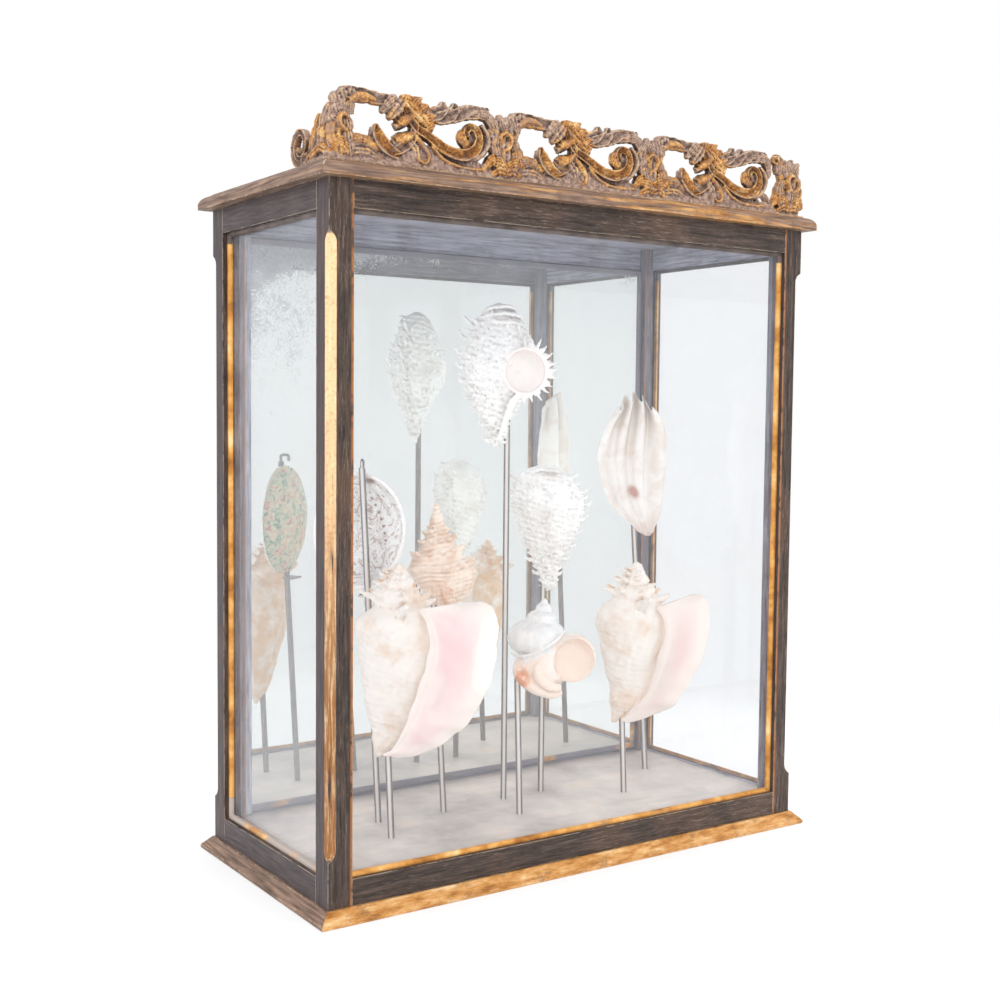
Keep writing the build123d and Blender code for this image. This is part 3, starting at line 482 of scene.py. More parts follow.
def plain_wood(name, along):
    """Unpainted softwood gone brown, behind and under the case."""
    shade = Shader(name)
    grain = shade.stretched(GRAIN_STRETCH[along])
    fine = shade.noise(420.0, 5.0, 0.65, grain)
    tone = shade.ramp(shade.noise(60.0, 5.0, 0.6, grain, 0.4), (0.34, 122, 90, 62),
                      (0.48, 150, 116, 82), (0.62, 172, 138, 100))
    tone = shade.tint(tone, shade.steps(fine, 0.5, 0.7), 0.5, (96, 70, 50))
    dirt = shade.steps(shade.noise(7.0, 5.0, 0.65), 0.45, 0.7)
    tone = shade.tint(tone, dirt, 0.5, (108, 88, 72))
    return shade.finished(tone, 0.72, shade.bump(fine, 0.3, 0.0005, 0.0008))


def finish(material, *nodes):
    """Give CAD nodes their node material."""
    for node in nodes:
        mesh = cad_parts[node].data
        mesh.materials.clear()
        mesh.materials.append(material)
        mesh.polygons.foreach_set("material_index", [0] * len(mesh.polygons))


def dress_frame():
    ends, sides, levels = ("front", "rear"), ("left", "right"), ("top", "bottom")
    panes = ("front", *sides)
    # the posts get less of the painted sheen inside the case
    finish(wood("ebonised_post", "Z", 0.45, gilt=True),
           *[f"post_{end}_{side}" for end in ends for side in sides])
    # the front rails' inner faces, seen in the mirror, get less of the painted sheen
    finish(wood("ebonised_front", "X", 0.40), *[f"{level}_rail_front" for level in levels])
    finish(wood("ebonised_x", "X"), *[f"{level}_rail_rear" for level in levels],
           *[f"door_rail_{level}" for level in levels], "top_board")
    finish(wood("ebonised_y", "Y"),
           *[f"{level}_rail_{side}" for level in levels for side in sides])
    finish(wood("ebonised_z", "Z"), "door_stile_hinge", "door_stile_free", "door_stop")
    for part, along, share, bright in (
            ("base_moulding_front", "X", 0.86, 1.0), ("base_moulding_rear", "X", 0.25, 1.0),
            ("base_moulding_left", "Y", 0.22, 1.0), ("base_moulding_right", "Y", 0.45, 1.0),
            ("cornice_front", "X", 0.50, 0.94), ("cornice_rear", "X", 0.15, 1.0),
            ("cornice_left", "Y", 0.26, 0.92), ("cornice_right", "Y", 0.26, 0.92)):
        name = part.replace("base_moulding", "base_gilt").replace("cornice", "cornice_gilt")
        finish(gilt_wood(name, along, share, bright), part)
    finish(gilt_wood("carved_gilding", "X", 0.66), "crest_front", "crest_return_left",
           "crest_return_right")
    finish(plain_wood("plain_board", "X"), "bottom_board")
    finish(plain_wood("plain_backing", "Z"), "mirror_backing")
    finish(bead_gilding("bead_gilding", 0.68), *["glazing_beads_" + pane for pane in panes])
    finish(bead_gilding("mirror_bead_gilding", 0.40), "mirror_beads")
    finish(floor_paint(), "display_floor")
    finish(window_glass(), *["glass_" + pane for pane in panes])
    finish(silvered_mirror(), "mirror_plate")
    finish(metal("aged_brass", (110, 84, 44), (182, 148, 90), 0.34), "hinge_leaves_case",
           "hinge_leaves_door", "hinge_pins", "door_knob", "turn_button_screws",
           "turn_button_upper", "turn_button_lower")
    finish(metal("dull_steel", (94, 85, 81), (146, 137, 132), 0.30, 0.35, 0.9), "tall_rods",
           "short_rods", "turban_rod", "abalone_stand")


# ------------------------------------------------------- building blocks: fused shapes
SPAN_STEPS = 24             # fine steps of a curve from one of its points to the next


def smooth_line(points, count):
    """Points spaced evenly along a smooth curve through the given points."""
    points = [Vector(p) for p in points]
    ends = [2 * points[0] - points[1]] + points + [2 * points[-1] - points[-2]]
    dense = []
    for i in range(1, len(ends) - 2):
        a, b, c, d = ends[i - 1:i + 3]
        for k in range(SPAN_STEPS):
            t = k / SPAN_STEPS
            dense.append(0.5 * ((2 * b) + (c - a) * t + (2 * a - 5 * b + 4 * c - d) * t * t
                                + (3 * b - a - 3 * c + d) * t ** 3))
    dense.append(points[-1])
    run = [0.0]
    for a, b in zip(dense, dense[1:]):
        run.append(run[-1] + (b - a).length)
    line, at = [], 0
    for k in range(count):
        goal = run[-1] * k / (count - 1)
        while at < len(run) - 2 and run[at + 1] < goal:
            at += 1
        share = (goal - run[at]) / max(run[at + 1] - run[at], 1e-9)
        line.append(dense[at].lerp(dense[at + 1], min(max(share, 0.0), 1.0)))
    return line


def length(points):
    return sum((Vector(b) - Vector(a)).length for a, b in zip(points, points[1:]))


def ahead_on(line, k):
    """The direction of a line at one of its points."""
    return line[min(k + 1, len(line) - 1)] - line[max(k - 1, 0)]


def between(values, t):
    """A value part of the way along a list of values, eased."""
    if len(values) == 1:
        return values[0]
    place = t * (len(values) - 1)
    low = min(int(place), len(values) - 2)
    share = place - low
    share = share * share * (3 - 2 * share)
    return values[low] * (1 - share) + values[low + 1] * share


def turns(count):
    """The angles of evenly spaced points round a circle."""
    return [2 * math.pi * i / count for i in range(count)]


class Heap:
    """Closed strokes that are fused into one skin, each with a value for its surface."""

    def __init__(self):
        self.mesh = bmesh.new()
        self.samples = []           # (point, value) all over the strokes

    def loft(self, rings):
        """A closed body through rings of points."""
        made = [[self.mesh.verts.new(p) for p in ring] for ring in rings]
        for one, two in zip(made, made[1:]):
            for i in range(len(one)):
                j = (i + 1) % len(one)
                self.mesh.faces.new((one[i], one[j], two[j], two[i]))
        self.mesh.faces.new(made[0][::-1])
        self.mesh.faces.new(made[-1])

    def fused(self, name, grid, ease, unit=1.0):
        """The mesh of the skin round all strokes, and a way to find the nearest value."""
        bmesh.ops.recalc_face_normals(self.mesh, faces=self.mesh.faces)
        bmesh.ops.scale(self.mesh, vec=(unit, unit, unit), verts=self.mesh.verts)
        rough = bpy.data.meshes.new(name + "_rough")
        self.mesh.to_mesh(rough)
        self.mesh.free()
        body = bpy.data.objects.new(name + "_rough", rough)
        bpy.context.scene.collection.objects.link(body)
        remesh = body.modifiers.new("skin", "REMESH")
        remesh.mode = "VOXEL"
        remesh.voxel_size = grid
        remesh.use_smooth_shade = True
        even = body.modifiers.new("even", "SMOOTH")
        even.factor = 0.5
        even.iterations = ease
        graph = bpy.context.evaluated_depsgraph_get()
        mesh = bpy.data.meshes.new_from_object(body.evaluated_get(graph))
        bpy.data.objects.remove(body)
        mesh.name = name
        tree = KDTree(len(self.samples))
        for i, (point, _) in enumerate(self.samples):
            tree.insert(point, i)
        tree.balance()
        return mesh, lambda point: self.samples[tree.find(point)[1]][1]


def surface(mesh):
    """Every point of a mesh with its normal, read before any of them is moved."""
    return [(vertex.co.copy(), vertex.normal.copy()) for vertex in mesh.vertices]


def made_piece(mesh, places=None, **values):
    """An object of a mesh, with its points moved and values given to them."""
    if places:
        mesh.vertices.foreach_set("co", places)
    for name, numbers in values.items():
        mesh.attributes.new(name, "FLOAT", "POINT").data.foreach_set("value", numbers)
    mesh.update()
    piece = bpy.data.objects.new(mesh.name, mesh)
    bpy.context.scene.collection.objects.link(piece)
    return piece


# ------------------------------------------------------------------- the carved cresting
CREST_FOOT = 0.8185
CREST_EASE = 0.8945          # above this the tips are pressed down to half their height
CREST_BACK = -0.1472
CREST_SIDE = 0.3395
CREST_GRID = 0.00095
CREST_UNITS = (-333.0, -116.0, 101.0)
CREST_HALF = 350.5
CLUSTER_SET = 10.0           # from a repeat's start back to the cluster before it
GOUGE_MARK = 0.0005
STROKE_ACROSS = 13


def dome(s):
    return math.sqrt(max(1 - s * s, 0.0))


PROFILES = {
    "round": dome,
    "leaf": lambda s: 0.34 + 0.66 * dome(s) - 0.22 * math.exp(-(s / 0.24) ** 2),
    "gouge": lambda s: 0.50 + 0.50 * abs(s) ** 1.5 - 0.55 * max(abs(s) - 0.84, 0) / 0.16,
    "ribbed": lambda s: 0.34 + 0.44 * dome(s) + 0.22 * math.cos(2.5 * math.pi * s) ** 2,
}


class Carving(Heap):
    """A relief put together from strokes of the gouge.

    A stroke is drawn as (along, up) points in millimetres; it is as deep as its relief,
    measured from the carving's back. Its value says how well its gold has lasted.
    """

    def __init__(self, place):
        super().__init__()
        self.place = place          # from (along, up, out) in millimetres to a point

    def stroke(self, points, widths, reliefs, profile="leaf", gold=0.8, lobes=0, bite=0.22):
        count = max(14, int(6 + 0.9 * length(points)))
        line = smooth_line(points, count)
        rings = []
        for k, centre in enumerate(line):
            t = k / (count - 1)
            ahead = ahead_on(line, k)
            side = Vector((-ahead.y, ahead.x)).normalized()
            half, relief = between(widths, t), between(reliefs, t)
            if lobes:
                dip = abs(math.sin(math.pi * lobes * t)) ** 0.6
                half *= 1 - bite + bite * dip
                relief *= 1 - 0.14 * (1 - dip)
            front = [-1 + 2 * i / (STROKE_ACROSS - 1) for i in range(STROKE_ACROSS)]
            section = [(s, relief * PROFILES[profile](s)) for s in front]
            section += [(s, 0.0) for s in (0.9, 0.0, -0.9)]
            rings.append([self.place(*(centre + side * (half * s)), out) for s, out in section])
            self.samples.append((self.place(*centre, 0.6 * relief), gold))
        self.loft(rings)

    def fan(self, root, tips, half, relief, gold=0.8, profile="leaf"):
        """Leaf lobes from a short root line to a row of tips."""
        for k, tip in enumerate(tips):
            start = Vector(root[0]).lerp(Vector(root[1]), k / (len(tips) - 1))
            middle = start.lerp(Vector(tip), 0.5)
            bow = Vector((-(tip[1] - start.y), tip[0] - start.x)) * 0.10
            self.stroke([start, middle + bow, tip], [half * 0.7, half, half * 0.35],
                        [relief * 0.8, relief, relief * 0.72], profile, gold)

    def rocks(self, low, high, top, step, relief, seed, gold):
        """The rough ground that the scrolls grow from."""
        chance = random.Random(seed)
        count = int((high - low) / step)
        for k in range(count + 1):
            centre = low + (high - low) * k / count
            height = top(centre) * chance.uniform(0.86, 1.08)
            lean = chance.uniform(-2.5, 2.5)
            self.stroke([(centre + lean, -0.6), (centre + lean * 0.5, height * 0.5),
                         (centre, height)],
                        [step * 1.7, step * 1.6, step * 0.8],
                        [relief * chance.uniform(0.92, 1.04), relief * chance.uniform(0.86, 1.0),
                         relief * 0.7], "round", gold)

    def finished(self, name):
        """The piece; the gouge has left no surface even, and its tips stay under a height."""
        mesh, nearest = self.fused(name, CREST_GRID, 2)
        gilding, places = [], []
        for vertex, normal in surface(mesh):
            gilding.append(nearest(vertex))
            uneven = noise.noise(vertex / MM * 0.16) + 0.5 * noise.noise(vertex / MM * 0.5)
            point = vertex + normal * (GOUGE_MARK * uneven)
            point.z -= 0.5 * max(point.z - CREST_EASE, 0.0)
            places.extend(point)
        return made_piece(mesh, places, gilding=gilding)


def crest_unit(carve, start):
    """One repeat: arch, hooked stem, S-scroll ending in a volute, leaf bar and ground."""
    def at(*points):
        return [(start + u, h) for u, h in points]

    def ground(along):
        u = along - start
        mound = 23.0 * math.exp(-((u - 18.0) / 26.0) ** 4)
        rise = 29.0 * math.exp(-((u - 98.0) / 27.0) ** 4)
        tail = 15.0 * math.exp(-((u - 150.0) / 48.0) ** 6)
        return max(mound, rise, tail, 13.0)

    carve.rocks(start - 12, start + 196, ground, 5.0, 8.8, int(start) + 901, 0.22)
    # mound of leaves at the foot of the arch
    carve.stroke(at((-6, 8), (4, 18), (16, 23), (30, 22), (42, 14)), [5, 7, 7, 6.5, 3],
                 [9, 11.5, 12, 11.5, 9], "ribbed", 0.75, 5, 0.16)
    carve.stroke(at((-2, 4), (12, 10), (28, 11), (44, 5)), [4, 5.5, 5.5, 3], [9, 11, 11, 9],
                 "leaf", 0.6, 4, 0.2)
    # arch over the first opening
    carve.stroke(at((-4, 40), (-3, 56), (4, 67), (17, 70), (32, 69.5), (46, 68.5), (60, 71)),
                 [10, 11, 11, 9.5, 8.2, 7.5, 5], [9, 11, 12, 11, 10, 10, 9], "gouge", 0.35, 6,
                 0.16)
    carve.stroke(at((6, 62), (16, 68), (28, 68.5), (38, 66)), [5, 6, 5.5, 3], [12, 13.5, 13, 11],
                 "round", 0.75)
    carve.fan(at((-6, 58), (10, 66)), at((-9, 70), (0, 76), (11, 78)), 6.5, 12, 0.3)
    # leaves between the arch and the S-scroll, hanging into the opening
    carve.stroke(at((66, 73), (58, 67), (51, 60), (47, 55)), [6, 8, 7, 3], [10, 12, 12, 9],
                 "ribbed", 0.45, 4, 0.2)
    carve.stroke(at((72, 70), (66, 62), (60, 55), (56, 49)), [6, 8.5, 8, 3.5], [11, 13, 13, 10],
                 "leaf", 0.55, 4, 0.2)
    # S-scroll and its volute
    carve.stroke(at((71, 73), (78, 57), (88, 44), (107, 34.5), (125, 24.5), (142, 20.5),
                    (155, 22), (165, 29), (169.5, 40), (166, 50), (158.5, 52.5), (153, 47.5),
                    (155, 41.5)),
                 [3.5, 4.4, 5.0, 5.2, 5.6, 6.4, 7.0, 7.4, 7.2, 6.4, 5.4, 4.6, 3.6],
                 [9, 11, 12, 12, 12, 12.5, 13, 13.5, 13.5, 13, 12, 11.5, 11], "gouge", 1.0)
    carve.stroke(at((120, 24), (136, 17.5), (152, 17), (166, 19.5), (177, 27), (183.5, 38),
                    (181, 49), (174, 57)),
                 [2.5, 3.2, 3.8, 4.4, 4.8, 4.6, 4.0, 3.0], [8, 9, 9, 9.5, 9.5, 9.5, 9, 8],
                 "round", 0.5)
    carve.stroke(at((160, 30), (152, 35), (148, 42), (153, 50)), [6, 7, 6, 3], [8, 9.5, 9.5, 8],
                 "ribbed", 0.85, 3, 0.25)
    carve.stroke(at((168, 34), (162, 41), (158, 45)), [6, 6.5, 4], [6, 6.5, 7], "round", 0.2)
    # hooked stem with two curled buds towards the arch
    carve.stroke(at((75, 68), (85, 53), (86, 38), (80, 26.5), (68, 18), (54, 14)),
                 [4, 5, 5.4, 5.8, 6, 4.5], [9, 10, 10.5, 10.5, 10, 8], "gouge", 0.6)
    for bud in (((88, 57), (80, 53), (72, 48.5), (65.5, 45)),
                ((87, 38), (79, 33), (70, 29.5), (62.5, 27))):
        carve.stroke(at(*bud), [4.5, 6.6, 7.8, 5.6], [10, 12, 13.5, 11], "round", 0.85)
        carve.stroke(at(*[(u - 2.5, h - 3.5) for u, h in bud[1:]]), [4.0, 6.0, 4.5],
                     [8, 9, 8], "round", 0.1)
    # leaf tongue standing in the first opening
    carve.stroke(at((68, 12), (56, 15.5), (47, 22), (41.5, 31), (40.5, 43)),
                 [5, 7, 8.4, 7.6, 1.8], [10, 12, 13, 12, 9], "gouge", 0.95)
    carve.stroke(at((52, 13), (43, 20), (37, 29), (35.5, 39)), [3, 4.4, 4.2, 1.6],
                 [8, 9, 8.5, 7], "round", 0.2)
    # acanthus leaf on the S-scroll's shoulder
    carve.fan(at((76, 67), (100, 42)),
              at((81, 78.3), (96, 77), (105, 69.5), (114.5, 60), (113, 50)),
              8.0, 12.5, 0.95, "ribbed")
    carve.stroke(at((73, 72), (84, 63), (97, 53), (106, 44)), [4, 7.5, 7.5, 4], [11, 13, 13, 11],
                 "leaf", 0.95, 4, 0.12)
    # leaf bar along the top
    for bar in (((101, 58), (113, 61), (122, 67), (124, 77)),
                ((112, 57), (127, 60), (137, 67), (139, 77.8)),
                ((128, 59), (142, 64), (154, 70), (164, 78)),
                ((144, 65), (160, 69), (174, 71), (184, 77))):
        carve.stroke(at(*bar), [6.5, 8.8, 8.0, 2.6], [9, 11, 12, 9.5], "gouge", 0.2, 3, 0.14)
    carve.stroke(at((158, 67), (174, 69), (184, 65), (188, 55), (187, 44)),
                 [5, 7.5, 7, 6, 4], [10, 12, 12, 10.5, 9], "ribbed", 0.5, 4, 0.16)
    # ground scroll and leaf under the shoulder
    carve.stroke(at((88, 34), (97, 25), (104, 14), (100, 6), (93, 9)), [4, 5, 4.6, 3.6, 2.4],
                 [10, 11.5, 11.5, 11, 10], "round", 0.8)
    carve.stroke(at((80, 30), (88, 20), (90, 9)), [5, 6.5, 3.5], [9, 11, 9.5], "leaf", 0.5, 3)
    carve.stroke(at((108, 27), (121, 15), (138, 9), (158, 7), (178, 8)), [3, 3.4, 3, 2.6, 2],
                 [9.5, 10, 9.5, 9.5, 9], "round", 0.75)


def crest_cluster(carve, middle, mirrored=1):
    """The bunch of leaves that stands between two repeats."""
    def at(*points):
        return [(middle + mirrored * u, h) for u, h in points]
    carve.stroke(at((2, 4), (-6, 18), (-13, 34), (-13, 50), (-20, 58)), [7, 9, 9, 7, 3],
                 [10, 12, 12.5, 12, 9], "ribbed", 0.6, 5, 0.2)
    carve.stroke(at((4, 4), (12, 16), (15, 30), (10, 44), (17, 54)), [7, 9, 9, 7, 3],
                 [10, 12.5, 13, 12, 9], "ribbed", 0.7, 5, 0.2)
    carve.stroke(at((0, 22), (-3, 38), (2, 54), (0, 68)), [8, 10, 9, 5], [12, 14, 13, 10],
                 "leaf", 0.4, 4, 0.16)
    carve.fan(at((-10, 50), (16, 52)), at((-20, 69), (-8, 72), (4, 71), (14, 70)), 8.0, 12, 0.3,
              "ribbed")
    # the upper bud that meets the next arch
    carve.stroke(at((10, 58), (18, 67), (27, 70)), [7, 8, 6], [10, 12.5, 11], "gouge", 0.7, 3)
    carve.stroke(at((14, 62), (18, 72), (23, 78)), [5, 5, 2], [10, 11, 9], "leaf", 0.4, 2)
    for side in (-1, 1):
        carve.stroke(at((0, 14), (side * 9, 19), (side * 19, 19), (side * 28, 10)),
                     [7, 8.5, 7.5, 3], [11, 13.5, 12.5, 9], "ribbed", 0.95, 4, 0.22)
        carve.stroke(at((0, 7), (side * 9, 9), (side * 20, 4)), [6, 6.5, 3], [12, 13.5, 10],
                     "leaf", 0.9, 3)
    carve.stroke(at((-6, 30), (2, 36), (4, 45), (-3, 51), (-10, 46), (-6, 40)),
                 [3.4, 4.6, 4.8, 4.4, 3.8, 2.6], [12, 14.4, 15, 14.4, 13.6, 13], "round", 0.8)


def crest_end(carve, edge, inward):
    """The foliage at an end of the front, where the carving turns the corner."""
    def at(*points):
        return [(edge + inward * u, h) for u, h in points]
    carve.stroke(at((26, 4), (22, 22), (20, 40), (15, 56)), [8, 10, 9.5, 5], [11, 13, 13, 10],
                 "ribbed", 0.5, 4, 0.2)
    carve.stroke(at((14, 4), (9, 18), (8, 32), (12, 48)), [7, 8.5, 8, 4], [10.5, 13, 12.5, 9.5],
                 "leaf", 0.7, 4, 0.2)
    carve.stroke(at((24, 12), (12, 17), (5, 9)), [7, 7.5, 4], [12, 14, 11], "ribbed", 0.9, 3)
    carve.fan(at((26, 48), (10, 40)), at((27, 66), (18, 68), (9, 60), (3.5, 48)), 8.0, 12, 0.4,
              "ribbed")
    carve.stroke(at((20, 30), (13, 34), (11, 42), (16, 47), (22, 43)), [4, 5, 5, 4.4, 3],
                 [13, 15, 15, 14.6, 13.6], "round", 0.75)


def front_crest():
    def place(along, up, out):
        return Vector((along * MM, CREST_BACK - out * MM, CREST_FOOT + up * MM))
    carve = Carving(place)
    for start in CREST_UNITS:
        crest_unit(carve, start)
    for start in CREST_UNITS[1:]:
        crest_cluster(carve, start - CLUSTER_SET)
    crest_end(carve, -CREST_HALF, 1)
    crest_end(carve, CREST_HALF, -1)
    crest_cluster(carve, CREST_HALF - CLUSTER_SET - 16.0, -1)
    carve.rocks(15 - CREST_HALF, CREST_HALF - 15, lambda along: 7.0, 9.0, 9.6, 77, 0.2)
    return carve.finished("carved_cresting")


def return_crest(name, side, seed):
    """The short side piece: a low ground, a standing leaf and a volute at its end."""
    def place(along, up, out):
        return Vector((side * (CREST_SIDE + out * MM), -along * MM, CREST_FOOT + up * MM))
    carve = Carving(place)
    carve.stroke([(150, 40), (138, 44), (127, 34), (118, 22), (104, 15), (92, 8), (80, 4.5),
                  (68, 8), (63, 20), (68, 33), (80, 38), (91, 33), (94, 22), (87, 14),
                  (78, 15), (75, 22)],
                 [5, 6, 6, 5, 4.5, 4.5, 4.6, 4.6, 4.6, 4.6, 4.4, 4.2, 3.8, 3.4, 2.8, 2.2],
                 [8, 9, 10, 10, 10, 10, 10, 10, 10.4, 11, 11, 11.4, 11.8, 12, 12, 12],
                 "gouge", 0.55)
    carve.stroke([(106, 14), (112, 28), (118, 40), (121, 52)], [6, 7, 6, 2], [9, 11, 10, 8],
                 "leaf", 0.9, 3, 0.24)
    carve.stroke([(128, 12), (130, 30), (136, 46), (146, 58)], [7, 8, 7, 4], [9, 11, 11, 9],
                 "leaf", 0.6, 4, 0.24)
    carve.stroke([(140, 10), (128, 15), (112, 11), (100, 4)], [6, 6, 5, 2], [10, 11, 10, 8],
                 "leaf", 0.9, 4, 0.24)
    carve.rocks(92.0, 146.0, lambda along: 9.0, 6.0, 8.0, seed, 0.3)
    return carve.finished(name)



def carved_gilding():
    """Gold rubbed through to mauve-brown wood: painted shade in its hollows and sheltered parts,
    its ridges pale with painted highlight and dust, pale specks of dust over it.
    """
    shade = Shader("carved_gilding")
    broad = shade.noise(85.0, 6.0, 0.68)
    fine = shade.noise(420.0, 5.0, 0.7)
    hollows = shade.hollows()
    # the raised parts keep more gold and take a pale painted highlight with dust
    ridge = shade.steps(hollows, 0.50, 0.56)
    # these three masks are painted shade in the hollows and sheltered parts
    deep = shade.steps(hollows, 0.496, 0.452)
    painted_crevice_shade = shade.steps(shade.shelter(0.009), 0.40, 0.94, 1.0, 0.0)
    gloom = shade.steps(shade.shelter(0.024), 0.30, 0.80, 0.55, 0.0)
    specks = shade.steps(shade.noise(900.0, 2.0, 0.6), 0.66, 0.72)
    bare = shade.ramp(shade.noise(190.0, 5.0, 0.65), (0.32, 88, 64, 54), (0.48, 136, 108, 94),
                      (0.60, 166, 138, 122), (0.74, 198, 174, 158))
    gold = shade.ramp(shade.total((broad, 0.6), (fine, 0.4)), (0.38, 92, 54, 26),
                      (0.47, 164, 102, 44), (0.55, 210, 152, 80), (0.64, 250, 218, 162))
    gilded = shade.steps(shade.total((shade.attribute("gilding"), 0.52), (broad, 0.80),
                                     (ridge, 0.12)), 0.66, 0.86)
    # painted shade over the sheltered, lower parts
    tone = shade.mix(gloom, shade.mix(gilded, bare, gold), (84, 58, 46))
    # painted highlight and dust on the ridges
    tone = shade.tint(tone, ridge, 0.45, (236, 206, 164))
    # painted shade in the crevices and the deepest hollows
    tone = shade.tint(tone, painted_crevice_shade, 0.85, (56, 38, 32))
    tone = shade.tint(tone, deep, 0.90, (40, 28, 25))
    tone = shade.tint(tone, specks, 0.40, (222, 206, 192))
    return shade.finished(tone, shade.steps(fine, 0.3, 0.7, 0.28, 0.52),
                          shade.bump(shade.total((fine,), (broad, 0.8)), 0.45, 0.0009),
                          Metallic=shade.times(gilded, 0.50))


def make_cresting():
    gilding = carved_gilding()
    for piece, node in ((front_crest(), "crest_front"),
                        (return_crest("carved_return_left", -1, 41), "crest_return_left"),
                        (return_crest("carved_return_right", 1, 42), "crest_return_right")):
        piece.data.materials.append(gilding)
        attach(piece, "case")
        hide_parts(node)


# ------------------------------------------------------------------------- the shells
DISPLAY_TURN = math.radians(-34.0)      # the shells face the corner that is looked at
SHELL_RIGHT = Vector((math.cos(DISPLAY_TURN), math.sin(DISPLAY_TURN), 0.0))
SHELL_BACK = Vector((-math.sin(DISPLAY_TURN), math.cos(DISPLAY_TURN), 0.0))
OUTSIDE, RUBBED, POLISHED = 0.0, 0.3, 0.5       # values of the blush attribute
BODY_ROWS, BODY_AROUND = 90, 56
LIP_ALONG, LIP_ACROSS, LIP_THICK = 46, 26, 8.0
SPIRE_TURNS, SPIRE_STEPS, SPIRE_AROUND = 6, 48, 40
SPIRE_GROWTH = 1.46                     # from one whorl to the next
SPIRE_END = math.radians(-70)
FROND_ROOT = 0.97                       # how far out from the body's middle a frond starts
VALVE_THICK = 3.4
WELD = 0.00002


def in_place(centre, p):
    """The point of the case that is (right, back, up) millimetres from a shell's centre."""
    return (Vector(centre) + SHELL_RIGHT * p.x + SHELL_BACK * p.y + Vector((0, 0, p.z))) * MM


class Blank:
    """A shell's full body: smooth oval sections through (height, left, right) stations."""

    def __init__(self, stations, flat=1.0):
        self.rows = smooth_line([(left, right, up) for up, left, right in stations], BODY_ROWS)
        self.flat = flat

    def row(self, up):
        """The left, right and height of the section nearest to a height."""
        return min(self.rows, key=lambda row: abs(row.z - up))

    def on(self, row, turn, up, out):
        left, right, _ = row
        wide = (right - left) / 2
        return Vector(((left + right) / 2 + wide * out * math.cos(turn),
                       wide * self.flat * out * math.sin(turn), up))

    def point(self, turn, up, out):
        return self.on(self.row(up), turn, up, out)

    def rings(self):
        return [[self.on(row, turn, row.z, 1.0) for turn in turns(BODY_AROUND)]
                for row in self.rows]


